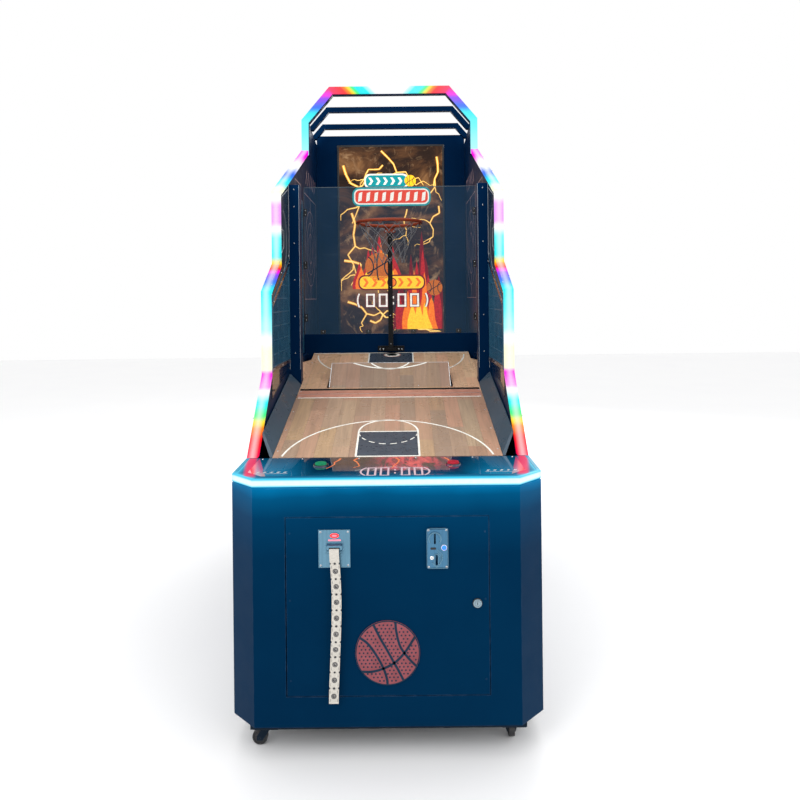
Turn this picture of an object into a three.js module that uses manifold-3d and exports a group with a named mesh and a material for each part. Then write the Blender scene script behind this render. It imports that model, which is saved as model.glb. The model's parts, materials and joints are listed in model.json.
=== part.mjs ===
// A basketball hoop arcade machine: a front cabinet with a lit console and a service door, a sloping
// court with a ball gate, walls edged with light strips, and a tower with a screen, a clear backboard
// and a hoop. Millimetres, +Z up, +Y from the player into the machine, +X to the player's right.
// It is drawn with the cabinet's front face at Y = 0, then moved to stand centred on the origin.

import * as THREE from 'three';
import { mergeVertices } from 'three/addons/utils/BufferGeometryUtils.js';
import Module from 'manifold-3d';

const wasm = await Module();
wasm.setup();

// ---------------------------------------------------------------- driving dimensions

const HALF_WIDTH = 500;           // outer face of either side wall
const LENGTH = 2300;              // front face to rear face
const SEAM_Y = 1066;              // where the front module meets the tower
const GAP = 0.3;                  // between pieces that touch
const CHAMFER = 81;               // front corners of the cabinet

const BASE_Z = 74;                // underside of the base frame
const CASING_Z = 104;             // lower edge of the casing
const CABINET_TOP_Z = 850;
const DECK_Z = 877;               // console deck, and the player's edge of the court
const PANEL = 15;                 // thickness of the cabinet's boards

const STRIP_IN = 462;             // inner face of the light strips
const WALL_IN = 466;              // inner face of the walls
const STRIP_DEPTH = 22;           // light strip, square to its path
const LINING = 3.4;               // printed and glossy panels fixed on the walls

const COURT_START_Y = 300;
const COURT_END_Y = 1535;
const COURT_HALF = 410;
const COURT_JOINT_Y = 930;
const COURT_THICKNESS = 12;
const COURT_SLOPE = Math.atan2(281, 1260);

const GATE_Y = 1011;              // hinge line of the ball gate
const GATE_WIDTH = 558;
const GATE_LENGTH = 175;
const GATE_RAISED = THREE.MathUtils.degToRad(22);

const DOOR = { left: -314.5, right: 319, low: 201, high: 758 };
const DOOR_HINGE = { x: -308, y: 6 };

const POST = { in: 411.5, y0: SEAM_Y, y1: SEAM_Y + 56, low: 900, top: 1972 };
const BACKBOARD = { y: 1540.3, half: 457, low: 1253, high: 2035, thickness: 6 };
const HOOP = { y: 1310, z: 1817, radius: 159, tube: 8 };
const SCREEN = { half: 336, low: 1211, high: 2407, y: 2230 };
const ROOF = { front: 1850.7, front_z: 2458, rear_z: 2405 };
const HEADER = { y: 1795, shoulder_z: 2460, top_z: 2646, flat_half: 341, band: 38 };

const CASTERS = [
  { name: 'front_left', x: -390, y: 90, trail: [-1, 0] },
  { name: 'front_right', x: 400, y: 90, trail: [0, 1] },
  { name: 'rear_left', x: -400, y: 2180, trail: [0, 1] },
  { name: 'rear_right', x: 400, y: 2180, trail: [0, 1] },
];
const WHEEL = { radius: 25, width: 20, trail: 28, bore: 4.2, axle: 4 };
const KING_PIN = 6;

// The side light strip's outer edge, from the deck up to the header's foot: [y, z].
const STRIP_PATH = [[COURT_START_Y, 878], [585, 1144], [585, 1473], [832, 1596], [832, 1906], [1813, 2292]];

const loweredStripPath = (() => {
  const [[footY, footZ], next] = STRIP_PATH;
  const slope = (next[1] - footZ) / (next[0] - footY);
  return [[footY - 40, footZ - 40 * slope], ...STRIP_PATH.slice(1)];
})();

// ---------------------------------------------------------------- solids

const solidOf = (geometry) => {
  const bare = geometry.clone();
  bare.deleteAttribute('normal');
  bare.deleteAttribute('uv');
  const merged = mergeVertices(bare, 1e-4);
  return new wasm.Manifold(new wasm.Mesh({
    numProp: 3,
    vertProperties: new Float32Array(merged.attributes.position.array),
    triVerts: new Uint32Array(merged.index.array),
  }));
};

const geometryOf = (solid) => {
  const mesh = solid.getMesh();
  const geometry = new THREE.BufferGeometry();
  geometry.setAttribute('position', new THREE.BufferAttribute(new Float32Array(mesh.vertProperties), 3));
  geometry.setIndex(new THREE.BufferAttribute(new Uint32Array(mesh.triVerts), 1));
  return geometry;
};

const join = (...solids) => solids.reduce((sum, solid) => sum.add(solid));
const cut = (solid, ...tools) => tools.reduce((rest, tool) => rest.subtract(tool), solid);

const box = (x0, x1, y0, y1, z0, z1) => {
  const geometry = new THREE.BoxGeometry(x1 - x0, y1 - y0, z1 - z0);
  geometry.translate((x0 + x1) / 2, (y0 + y1) / 2, (z0 + z1) / 2);
  return solidOf(geometry);
};

const outline = (points, holes = []) => {
  const shape = new THREE.Shape(points.map(([a, b]) => new THREE.Vector2(a, b)));
  for (const hole of holes) {
    shape.holes.push(new THREE.Path(hole.map(([a, b]) => new THREE.Vector2(a, b))));
  }
  return shape;
};

const extrude = (shape, depth) => (
  new THREE.ExtrudeGeometry(shape, { depth, bevelEnabled: false, curveSegments: 12 }));

// A prism along X from points [y, z], along Y from points [x, z], and along Z from points [x, y].
const prismX = (points, x0, x1, holes) => {
  const axes = new THREE.Matrix4().makeBasis(
    new THREE.Vector3(0, 1, 0), new THREE.Vector3(0, 0, 1), new THREE.Vector3(1, 0, 0));
  return solidOf(extrude(outline(points, holes), x1 - x0).applyMatrix4(axes).translate(x0, 0, 0));
};

const prismY = (points, y0, y1, holes) => {
  const axes = new THREE.Matrix4().makeBasis(
    new THREE.Vector3(1, 0, 0), new THREE.Vector3(0, 0, 1), new THREE.Vector3(0, -1, 0));
  return solidOf(extrude(outline(points, holes), y1 - y0).applyMatrix4(axes).translate(0, y1, 0));
};

const prismZ = (points, z0, z1, holes) => (
  solidOf(extrude(outline(points, holes), z1 - z0).translate(0, 0, z0)));

// A round bar of the given radius between two points.
const bar = (from, to, radius, sides = 16) => {
  const start = new THREE.Vector3(...from);
  const along = new THREE.Vector3(...to).sub(start);
  const geometry = new THREE.CylinderGeometry(radius, radius, along.length(), sides);
  geometry.translate(0, along.length() / 2, 0);
  geometry.applyQuaternion(new THREE.Quaternion().setFromUnitVectors(
    new THREE.Vector3(0, 1, 0), along.clone().normalize()));
  return solidOf(geometry.translate(start.x, start.y, start.z));
};

// A solid of revolution about a line along Z (or along Y) from a profile of [radius, distance along].
const turnedZ = (profile, x, y, sides = 24) => {
  const geometry = new THREE.LatheGeometry(profile.map(([r, z]) => new THREE.Vector2(r, z)), sides);
  return solidOf(geometry.rotateX(Math.PI / 2).translate(x, y, 0));
};

const turnedY = (profile, x, z, sides = 24) => {
  const geometry = new THREE.LatheGeometry(profile.map(([r, y]) => new THREE.Vector2(r, y)), sides);
  return solidOf(geometry.translate(x, 0, z));
};

const circle = (a, b, radius, sides, turn = 0) => Array.from({ length: sides }, (_, i) => {
  const angle = turn + (i * 2 * Math.PI) / sides;
  return [a + radius * Math.cos(angle), b + radius * Math.sin(angle)];
});

// An open path moved to its right by a distance, with mitred corners.
const offsetPath = (path, distance) => path.map((point, i) => {
  const normals = [];
  for (const [from, to] of [[path[i - 1], point], [point, path[i + 1]]]) {
    if (from && to) {
      const length = Math.hypot(to[0] - from[0], to[1] - from[1]);
      normals.push([(to[1] - from[1]) / length, -(to[0] - from[0]) / length]);
    }
  }
  const sum = normals.reduce(([a, b], [c, d]) => [a + c, b + d], [0, 0]);
  const scale = (distance * normals.length) / (sum[0] ** 2 + sum[1] ** 2);
  return [point[0] + sum[0] * scale, point[1] + sum[1] * scale];
});

const mirrored = (solid) => solid.mirror([1, 0, 0]);

// ---------------------------------------------------------------- the scene graph

const machine = new THREE.Group();

const FINISHES = {
  casing: { color: 0x072a42, roughness: 0.45, metalness: 0.1 },
  tower: { color: 0x04182e, roughness: 0.4, metalness: 0.1 },
  steel: { color: 0x9aa6ad, roughness: 0.35, metalness: 0.9 },
  chrome: { color: 0xd5dade, roughness: 0.15, metalness: 1.0 },
  black: { color: 0x101216, roughness: 0.5, metalness: 0.2 },
  gloss_black: { color: 0x05070a, roughness: 0.08, metalness: 0.0 },
  light: { color: 0xd8fbff, roughness: 0.4, metalness: 0.0 },
  court: { color: 0xb08a6c, roughness: 0.35, metalness: 0.0 },
  print: { color: 0x2b3440, roughness: 0.3, metalness: 0.0 },
  mesh: { color: 0x3d5566, roughness: 0.4, metalness: 0.8 },
  clear: { color: 0x4a6070, roughness: 0.05, metalness: 0.0 },
  rim: { color: 0x7a2a1c, roughness: 0.4, metalness: 0.3 },
  net: { color: 0xd9d9d5, roughness: 0.9, metalness: 0.0 },
  ticket: { color: 0xe7e0d0, roughness: 0.8, metalness: 0.0 },
  grille: { color: 0xaa5560, roughness: 0.6, metalness: 0.1 },
  rubber: { color: 0x141414, roughness: 0.8, metalness: 0.0 },
  green: { color: 0x18c060, roughness: 0.2, metalness: 0.0 },
  red: { color: 0xd01818, roughness: 0.2, metalness: 0.0 },
  blue: { color: 0x2050ff, roughness: 0.2, metalness: 0.0 },
  board: { color: 0x1d5a34, roughness: 0.5, metalness: 0.0 },
};

const place = (name, solid, finish) => {
  const mesh = new THREE.Mesh(geometryOf(solid), new THREE.MeshStandardMaterial(FINISHES[finish]));
  mesh.name = name;
  machine.add(mesh);
};

// A piece made for the right-hand side, and its mirror image on the left.
const placePair = (name, solid, finish) => {
  place(`right_${name}`, solid, finish);
  place(`left_${name}`, mirrored(solid), finish);
};

// ---------------------------------------------------------------- cabinet and base

// The casing's outline seen from above, moved in by an inset, from the front to the line y1.
const casingOutline = (inset, y0, y1, chamfered) => {
  const half = HALF_WIDTH - inset;
  const slope = CHAMFER - inset * (2 - Math.SQRT2);
  if (!chamfered) {
    return [[-half, y0 + inset], [half, y0 + inset], [half, y1 - inset], [-half, y1 - inset]];
  }
  return [[-half + slope, y0 + inset], [half - slope, y0 + inset], [half, y0 + inset + slope],
    [half, y1 - inset], [-half, y1 - inset], [-half, y0 + inset + slope]];
};

const casing = (y0, y1, chamfered) => {
  const walls = prismZ(casingOutline(0, y0, y1, chamfered), CASING_Z, CABINET_TOP_Z);
  const inside = prismZ(casingOutline(PANEL, y0, y1, chamfered), CASING_Z + PANEL, CABINET_TOP_Z + 1);
  return cut(walls, inside);
};

const frontCabinet = () => {
  const opening = box(DOOR.left - 3, DOOR.right + 2, -1, PANEL + 1, DOOR.low - 2, DOOR.high + 2);
  const sockets = [DOOR.low - 12, DOOR.high - 8].map((z) => (
    bar([DOOR_HINGE.x, DOOR_HINGE.y, z], [DOOR_HINGE.x, DOOR_HINGE.y, z + 20], 3.3)));
  const passage = box(-300, 300, SEAM_Y - PANEL - 2, SEAM_Y + 1, 250, 800);
  return cut(casing(0, SEAM_Y - GAP, true), opening, passage, ...sockets);
};

const INLET = { x: 300, z: 260, half: 14, high: 12 };
const SWITCH = { x: 252, z: 260, half: 11, high: 15 };

const rearCabinet = () => {
  const passage = box(-300, 300, SEAM_Y - 1, SEAM_Y + PANEL + 2, 250, 800);
  const ports = [INLET, SWITCH].map(({ x, z, half, high }) => (
    box(x - half - GAP, x + half + GAP, LENGTH - PANEL - 1, LENGTH + 1, z - high - GAP, z + high + GAP)));
  return cut(casing(SEAM_Y + GAP, LENGTH, false), passage, ...ports);
};

const baseFrame = () => {
  const [side, front, rear, tube] = [440, 40, 2260, 44];
  const top = CASING_Z - GAP;
  const ring = cut(box(-side, side, front, rear, BASE_Z, top),
    box(-side + tube, side - tube, front + tube, rear - tube, BASE_Z - 1, top + 1));
  const sheet = box(-side + 1, side - 1, front + 1, rear - 1, top - 3, top);
  const ties = [700, 1500].map((y) => box(-side + 1, side - 1, y, y + tube, BASE_Z, top));
  const pads = CASTERS.map(({ x, y }) => box(x - 38, x + 38, y - 44, y + 44, BASE_Z - 5, BASE_Z + 8));
  const pins = CASTERS.map(({ x, y }) => bar([x, y, 0], [x, y, BASE_Z + 8.5], KING_PIN + 0.3, 16));
  return cut(join(ring, sheet, ...ties, ...pads), ...pins);
};

const casterFork = ({ x, y, trail }) => {
  const top = BASE_Z - 5 - GAP;
  const hub = turnedZ([[0, top - 8], [20, top - 8], [23, top - 3], [23, top], [0, top]], 0, 0, 16);
  const pin = bar([0, 0, top - 4], [0, 0, BASE_Z + 8], KING_PIN, 16);
  const cheeks = [-1, 1].map((side) => {
    const inner = side * (WHEEL.width / 2 + 1.5);
    const outer = side * (WHEEL.width / 2 + 4.5);
    return prismY([[-14, top - 4], [14, top - 4], [WHEEL.trail + 9, WHEEL.radius + 6],
      [WHEEL.trail + 9, WHEEL.radius - 8], [WHEEL.trail - 9, WHEEL.radius - 8]],
    Math.min(inner, outer), Math.max(inner, outer));
  });
  const reach = WHEEL.width / 2 + 6.5;
  const axle = bar([WHEEL.trail, -reach, WHEEL.radius], [WHEEL.trail, reach, WHEEL.radius], WHEEL.axle, 16);
  const turn = THREE.MathUtils.radToDeg(Math.atan2(trail[1], trail[0]));
  return join(hub, pin, ...cheeks, axle).rotate([0, 0, turn]).translate([x, y, 0]);
};

const casterWheel = ({ x, y, trail }) => {
  const { radius, width, bore } = WHEEL;
  const half = width / 2;
  const tyre = turnedY([[bore, -half], [20, -half], [radius - 2, -half], [radius, -half + 3],
    [radius, half - 3], [radius - 2, half], [20, half], [bore, half], [bore, -half]], 0, 0, 24);
  const turn = THREE.MathUtils.radToDeg(Math.atan2(trail[1], trail[0]));
  return tyre.translate([WHEEL.trail, 0, radius]).rotate([0, 0, turn]).translate([x, y, 0]);
};

// ---------------------------------------------------------------- console

const CONSOLE_BAND = 12;          // depth of the light strip round the deck
const BUTTONS = { x: 224, y: 185, bezel: 26, bore: 20, cap: 19.4, lip: 4, travel: 4 };

const consoleDeck = () => {
  const inset = CONSOLE_BAND + GAP;
  const plate = prismZ(casingOutline(inset, 0, COURT_START_Y + inset, true), CABINET_TOP_Z + GAP, DECK_Z);
  const centres = [-BUTTONS.x, BUTTONS.x];
  const bezels = centres.map((x) => turnedZ([[0, DECK_Z - 4], [BUTTONS.bezel, DECK_Z - 4],
    [BUTTONS.bezel, DECK_Z + 1], [BUTTONS.bezel - 3, DECK_Z + BUTTONS.lip], [0, DECK_Z + BUTTONS.lip]],
  x, BUTTONS.y, 20));
  const bores = centres.map((x) => (
    bar([x, BUTTONS.y, CABINET_TOP_Z - 1], [x, BUTTONS.y, DECK_Z + 9], BUTTONS.bore, 20)));
  return cut(join(plate, ...bezels), ...bores);
};

const consoleLight = () => {
  const outer = casingOutline(0, 0, COURT_START_Y - GAP, true);
  const band = prismZ(outer, CABINET_TOP_Z + 5, DECK_Z + 1);
  const inner = prismZ(casingOutline(CONSOLE_BAND, 0, COURT_START_Y + 60, true), 0, DECK_Z + 9);
  return cut(band, inner);
};

const buttonCap = (x) => {
  const { cap } = BUTTONS;
  const top = DECK_Z + BUTTONS.lip;
  return turnedZ([[0, DECK_Z - 22], [cap - 3, DECK_Z - 22], [cap - 3, DECK_Z - 6], [cap, DECK_Z - 6],
    [cap, top + 1], [cap * 0.86, top + 5], [cap * 0.55, top + 7.5], [0, top + 8.5]], x, BUTTONS.y, 20);
};

// ---------------------------------------------------------------- service door and what it carries

const COIN = { left: 124.8, right: 192.2, low: 598, high: 724, proud: 8,
  button_x: 179, button_z: 664, button_proud: 12 };
const TICKET = { left: -212.5, right: -113.3, low: 603, high: 721, proud: 3, mouth_z: 667, x: -162 };
const GRILLE = { z: 335.5, radius: 101 };
const LOCK = { x: 281.7, z: 487.5, barrel: 9, flange: 15 };

const serviceDoor = () => {
  const panel = box(DOOR.left, DOOR.right, 0, PANEL, DOOR.low, DOOR.high);
  const pins = [[DOOR.low - 9, DOOR.low + 6], [DOOR.high - 6, DOOR.high + 9]].map(([z0, z1]) => (
    bar([DOOR_HINGE.x, DOOR_HINGE.y, z0], [DOOR_HINGE.x, DOOR_HINGE.y, z1], 3)));
  const holes = [
    box(COIN.left + 5, COIN.right - 5, -1, PANEL + 1, COIN.low + 6, COIN.high - 6),
    box(TICKET.left + 6, TICKET.right - 6, -1, PANEL + 1, TICKET.low + 8, TICKET.high - 8),
    bar([0, -1, GRILLE.z], [0, PANEL + 1, GRILLE.z], GRILLE.radius - 12, 32),
    bar([LOCK.x, -1, LOCK.z], [LOCK.x, PANEL + 1, LOCK.z], LOCK.barrel + 0.3, 24),
  ];
  return cut(join(panel, ...pins), ...holes);
};

const doorLock = () => {
  const barrel = turnedY([[0, -6], [11, -6], [LOCK.flange, -4], [LOCK.flange, -GAP], [LOCK.barrel, -GAP],
    [LOCK.barrel, 26], [0, 26]], LOCK.x, LOCK.z, 24);
  const cam = box(LOCK.x - 7, LOCK.x + 7, 18, 21, LOCK.z - 47, LOCK.z + 9);
  const keyway = box(LOCK.x - 1, LOCK.x + 1, -7, -1, LOCK.z - 5, LOCK.z + 5);
  return cut(join(barrel, cam), keyway);
};

// A cast plate with a coin slot, a return cup and a lip, and the coin mechanism behind it.
const coinAcceptor = () => {
  const { left, right, low, high, proud } = COIN;
  const middle = (left + right) / 2;
  const rounded = [[left + 8, low], [right - 8, low], [right, low + 8], [right, high - 8],
    [right - 8, high], [left + 8, high], [left, high - 8], [left, low + 8]];
  const plate = prismY(rounded, -proud + 3, -GAP);
  const raised = prismY(rounded.map(([x, z]) => [
    middle + (x - middle) * 0.9, (low + high) / 2 + (z - (low + high) / 2) * 0.94]), -proud, -2);
  const mechanism = box(left + 6, right - 6, -1, 78, low + 8, high - 8);
  const hood = prismY(circle(middle - 8, high - 32, 17, 16), -proud - 3, -2);
  const coinSlot = box(middle - 11, middle - 5.5, -20, 30, high - 48, high - 16);
  const returnSlot = box(middle - 6.5, middle + 0.5, -20, 28, low + 12, low + 44);
  const buttonBore = bar([COIN.button_x, -20, COIN.button_z], [COIN.button_x, 12, COIN.button_z], 7, 20);
  return cut(join(plate, raised, mechanism, hood), coinSlot, returnSlot, buttonBore);
};

const rejectButton = () => {
  const face = -COIN.button_proud;
  return turnedY([[0, face], [5.6, face], [6.6, face + 1.2], [6.6, 6], [0, 6]], COIN.button_x, COIN.button_z, 20);
};

// A steel plate with a projecting mouth, and the ticket feeder behind it.
const ticketDispenser = () => {
  const { left, right, low, high, proud, mouth_z: mouth, x } = TICKET;
  const plate = box(left, right, -proud, -GAP, low, high);
  const feeder = box(left + 7, right - 7, -1, 120, low + 9, high - 9);
  const bracket = prismX([[-proud + 1, mouth - 14], [-16, mouth - 5], [-16, mouth + 8], [-proud + 1, mouth + 12]],
    x - 24, x + 24);
  const slot = box(x - 17, x + 17, -30, 60, mouth - 3, mouth + 2.5);
  return cut(join(plate, feeder, bracket), slot);
};

// A strip of tickets curls out of the mouth and hangs down the door.
const ticketStrip = () => {
  const middle = [[-17, 666.8], [-21, 666], [-25, 662], [-26.5, 652], [-23, 600], [-20, 480], [-24, 380],
    [-17, 270], [-19, 186]];
  const back = offsetPath(middle, 0.7);
  const front = offsetPath(middle, -0.7);
  return prismX([...back, ...front.reverse()], TICKET.x - 15, TICKET.x + 15);
};

const speakerGrille = () => {
  const disc = turnedY([[0, -4], [GRILLE.radius - 3, -4], [GRILLE.radius, -2.5], [GRILLE.radius, -GAP],
    [0, -GAP]], 0, GRILLE.z, 32);
  const holes = [bar([0, -9, GRILLE.z], [0, 1, GRILLE.z], 11, 6)];
  for (const [ring, count] of [[40, 6], [76, 12]]) {
    for (const [x, z] of circle(0, GRILLE.z, ring, count)) {
      holes.push(bar([x, -9, z], [x, 1, z], 11, 6));
    }
  }
  return cut(disc, ...holes);
};

const speakerDriver = () => turnedY([[0, 34], [20, 34], [72, 17], [80, 17], [86, PANEL + GAP], [96, PANEL + GAP],
  [96, 19], [84, 22], [48, 52], [48, 74], [0, 74]], 0, GRILLE.z, 20);

// ---------------------------------------------------------------- inside the cabinet

const FLOOR_Z = CASING_Z + PANEL + GAP;

const coinBox = () => cut(box(80, 250, 100, 300, FLOOR_Z, FLOOR_Z + 140),
  box(84, 246, 104, 296, FLOOR_Z + 4, FLOOR_Z + 150));

const powerSupply = () => {
  const body = box(-260, -110, 420, 620, FLOOR_Z, FLOOR_Z + 62);
  const terminals = box(-250, -120, 405, 421, FLOOR_Z + 8, FLOOR_Z + 26);
  return join(body, terminals);
};

const controlBoard = () => {
  const plate = box(60, 300, 430, 600, FLOOR_Z + 12, FLOOR_Z + 15);
  const legs = [[70, 440], [290, 440], [70, 590], [290, 590]].map(([x, y]) => (
    bar([x, y, FLOOR_Z], [x, y, FLOOR_Z + 13], 4, 8)));
  const chips = [[100, 470, 40], [180, 480, 55], [110, 540, 30], [220, 550, 36]].map(([x, y, size]) => (
    box(x, x + size, y, y + size * 0.7, FLOOR_Z + 14, FLOOR_Z + 20)));
  return join(plate, ...legs, ...chips);
};

// ---------------------------------------------------------------- court and ball gate

// A solid drawn flat, with y along the court from its player's edge and z above its surface, laid on the slope.
const onCourt = (solid) => solid
  .rotate([THREE.MathUtils.radToDeg(COURT_SLOPE), 0, 0])
  .translate([0, COURT_START_Y, DECK_Z]);
const alongCourt = (y) => (y - COURT_START_Y) / Math.cos(COURT_SLOPE);

const frontCourt = () => onCourt(box(-COURT_HALF, COURT_HALF, 4, alongCourt(COURT_JOINT_Y - 1),
  -COURT_THICKNESS, 0));

const SHAFT = { radius: 4, depth: 6, half: 300 };
const gateAt = alongCourt(GATE_Y);

const rearCourt = () => {
  const start = alongCourt(COURT_JOINT_Y + 1);
  const end = alongCourt(COURT_END_Y);
  const floor = box(-COURT_HALF, COURT_HALF, start, end, -COURT_THICKNESS, 0);
  const wing = prismY([[COURT_HALF - 2, -6], [COURT_HALF - 2, 0], [461, 50], [464, 50], [464, 44],
    [COURT_HALF + 4, -8]], alongCourt(POST.y1 + 16), end - 12);
  const opening = box(-288, 288, gateAt - 6, gateAt + GATE_LENGTH + 6, -20, 20);
  const shaft = bar([-SHAFT.half - 1, gateAt, -SHAFT.depth], [SHAFT.half + 1, gateAt, -SHAFT.depth],
    SHAFT.radius + 0.2);
  const low = cut(onCourt(join(wing, mirrored(wing))), box(-999, 999, 0, 9999, RAIL.rail_z - GAP, 9999));
  return join(onCourt(cut(floor, opening, shaft)), low);
};

// The flap stands raised about its shaft, and lies flush when the shaft turns back.
const gateFlap = () => {
  const half = GATE_WIDTH / 2;
  const shaft = bar([-SHAFT.half, 0, 0], [SHAFT.half, 0, 0], SHAFT.radius);
  const plate = box(-half, half, 0, GATE_LENGTH, SHAFT.depth - 8, SHAFT.depth);
  const nose = bar([-half, 0, SHAFT.depth - 5], [half, 0, SHAFT.depth - 5], 5);
  const lever = prismX([[-4, 0], [14, 0], [12, -62], [2, -62]], -203, -197);
  return onCourt(join(shaft, plate, nose, lever)
    .rotate([THREE.MathUtils.radToDeg(GATE_RAISED), 0, 0])
    .translate([0, gateAt, -SHAFT.depth]));
};

const gateMotor = () => {
  const gearbox = box(-190, -130, gateAt - 40, gateAt + 30, -100, -52);
  const motor = bar([-131, gateAt - 5, -76], [-60, gateAt - 5, -76], 20, 20);
  const crank = bar([-196, gateAt + 12, -76], [-189, gateAt + 12, -76], 14, 20);
  const bracket = box(-180, -140, gateAt - 44, gateAt - 36, -100, -COURT_THICKNESS - GAP);
  return onCourt(join(gearbox, motor, crank, bracket));
};

// A sloping board from the court's edge up to the wall, trimmed under the light strip's foot.
const skirt = () => {
  const board = onCourt(prismY([[COURT_HALF + 1, 0], [458, 52], [STRIP_IN - GAP, 52], [STRIP_IN - GAP, 46],
    [COURT_HALF + 7, -8], [COURT_HALF + 1, -8]], 14, alongCourt(SEAM_Y) - 10));
  const middle = offsetPath(loweredStripPath, STRIP_DEPTH / 2).slice(0, 2);
  const above = prismX([...middle, [middle[1][0], 2000], [middle[0][0], 2000]], 0, 999);
  return cut(board, above);
};

// ---------------------------------------------------------------- side walls

const roofZ = (y) => ROOF.front_z + ((y - ROOF.front) * (ROOF.rear_z - ROOF.front_z)) / (LENGTH - ROOF.front);

// Where a path [y, z] crosses a given y on the stretch between its last two points.
const lastStretchZ = (path, y) => {
  const [[y0, z0], [y1, z1]] = path.slice(-2);
  return z0 + ((y - y0) * (z1 - z0)) / (y1 - y0);
};

const wallTop = offsetPath(STRIP_PATH, STRIP_DEPTH + GAP);
const HEADER_FOOT_Z = lastStretchZ(wallTop, HEADER.y) + GAP;

const wallOutline = () => {
  const ledge = HEADER_FOOT_Z - GAP;
  return [[LENGTH - GAP, CABINET_TOP_Z + GAP], [LENGTH - GAP, roofZ(LENGTH)], [ROOF.front, ROOF.front_z],
    [ROOF.front, ledge], [HEADER.y, ledge], ...wallTop.slice(1, -1).reverse(),
    [COURT_START_Y + 34, DECK_Z - 1], [COURT_START_Y + 2, DECK_Z - 1], [COURT_START_Y + 2, CABINET_TOP_Z + GAP]];
};

// Inclined rail between the wire mesh and the printed panel above it: [y, z] at its lower edge.
const RAIL = { y0: 608, z0: 1427, y1: SEAM_Y - 8, z1: 1627, low: 1150, rail_z: 1126 };
const railZ = (y) => RAIL.z0 + ((y - RAIL.y0) * (RAIL.z1 - RAIL.z0)) / (RAIL.y1 - RAIL.y0);

const meshWindow = (margin) => [[RAIL.y0 + margin, RAIL.low + margin], [RAIL.y1 - margin, RAIL.low + margin],
  [RAIL.y1 - margin, railZ(RAIL.y1 - margin) - margin], [RAIL.y0 + margin, railZ(RAIL.y0 + margin) - margin]];

const REAR_MESH = { y0: SEAM_Y + 62, y1: 1528, low: 1156, high: 1960 };
const rearWindow = (margin) => [[REAR_MESH.y0 + margin, REAR_MESH.low + margin],
  [REAR_MESH.y1 - margin, REAR_MESH.low + margin], [REAR_MESH.y1 - margin, REAR_MESH.high - margin],
  [REAR_MESH.y0 + margin, REAR_MESH.high - margin]];

const SKIN = 3;                   // outer sheet left behind the recesses in a wall

const frontWall = () => {
  const whole = prismX(wallOutline(), WALL_IN, HALF_WIDTH);
  const recess = prismX(meshWindow(22), WALL_IN - 1, HALF_WIDTH - SKIN);
  return cut(whole, box(0, 999, SEAM_Y - GAP, 9999, 0, 9999), recess);
};

const rearWall = () => {
  const whole = prismX(wallOutline(), WALL_IN, HALF_WIDTH);
  const recess = prismX(rearWindow(22), WALL_IN - 1, HALF_WIDTH - SKIN);
  return cut(whole, box(0, 999, -9, SEAM_Y + GAP, 0, 9999), recess);
};

const lightStrip = () => {
  const inner = offsetPath(loweredStripPath, STRIP_DEPTH);
  const band = prismX([...inner, ...loweredStripPath.slice().reverse()], STRIP_IN, HALF_WIDTH);
  const below = box(0, 999, 0, 999, 0, DECK_Z + 1 + GAP);
  const behind = box(0, 999, HEADER.y - GAP, 9999, 0, 9999);
  return cut(band, below, behind);
};

const lowerLining = () => prismX([[RAIL.y0, 1042], [SEAM_Y - 8, 1138], [SEAM_Y - 8, RAIL.low - GAP],
  [RAIL.y0, RAIL.low - GAP]], WALL_IN - LINING, WALL_IN - GAP);

const printPanel = () => {
  const [, , frontCorner, shoulder, towerCorner, foot] = wallTop;
  const end = SEAM_Y - 8;
  const rise = (foot[1] - towerCorner[1]) / (foot[0] - towerCorner[0]);
  const top = towerCorner[1] + (end - towerCorner[0]) * rise;
  const margin = GAP + 2;
  return prismX([[RAIL.y0 + 2, railZ(RAIL.y0) + margin], [end, railZ(end) + margin], [end, top - 4],
    [towerCorner[0] + 4, towerCorner[1] - 6], [shoulder[0] + 4, shoulder[1] - 6],
    [frontCorner[0] + 2, frontCorner[1] - 8]], WALL_IN - LINING, WALL_IN - GAP);
};

// A bordered panel of crossed wires, drawn in an outline of [y, z].
const wirePanel = (outer, inner, rows, columns) => {
  const back = WALL_IN - GAP;
  const border = cut(prismX(outer, back - 6, back), prismX(inner, back - 7, back + 1));
  const wires = [];
  for (const z of rows) {
    wires.push(box(back - 5, back - 1, outer[0][0] + 5, outer[1][0] - 5, z - 2, z + 2));
  }
  for (const y of columns) {
    wires.push(box(back - 4, back - 2, y - 1.5, y + 1.5, outer[0][1] + 5, outer[2][1] + 5));
  }
  return join(border, join(...wires).intersect(prismX(outer, back - 6, back)));
};

const steps = (from, to, pitch) => {
  const count = Math.floor((to - from) / pitch);
  return Array.from({ length: count }, (_, i) => from + pitch * (i + 1));
};

const WIRE_PITCH = 57;
const POST_WIRE_PITCH = 2.5 * WIRE_PITCH;
const frontMesh = () => wirePanel(meshWindow(0), meshWindow(20),
  steps(RAIL.low + 10, railZ(RAIL.y1) - 20, WIRE_PITCH), steps(RAIL.y0, RAIL.y1 - 20, POST_WIRE_PITCH));
const rearMesh = () => wirePanel(rearWindow(0), rearWindow(20),
  steps(REAR_MESH.low + 10, REAR_MESH.high - 20, WIRE_PITCH),
  steps(REAR_MESH.y0, REAR_MESH.y1 - 20, POST_WIRE_PITCH));

// ---------------------------------------------------------------- tower

// A roof arch from [x, z] points on its right half, thick inwards, between two faces in Y.
const arch = (half, thickness, y0, y1) => {
  const path = [...half.map(([x, z]) => [-x, z]), ...half.slice().reverse()];
  const inner = offsetPath(path, thickness);
  return prismY([...inner, ...path.slice().reverse()], y0, y1);
};

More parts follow.
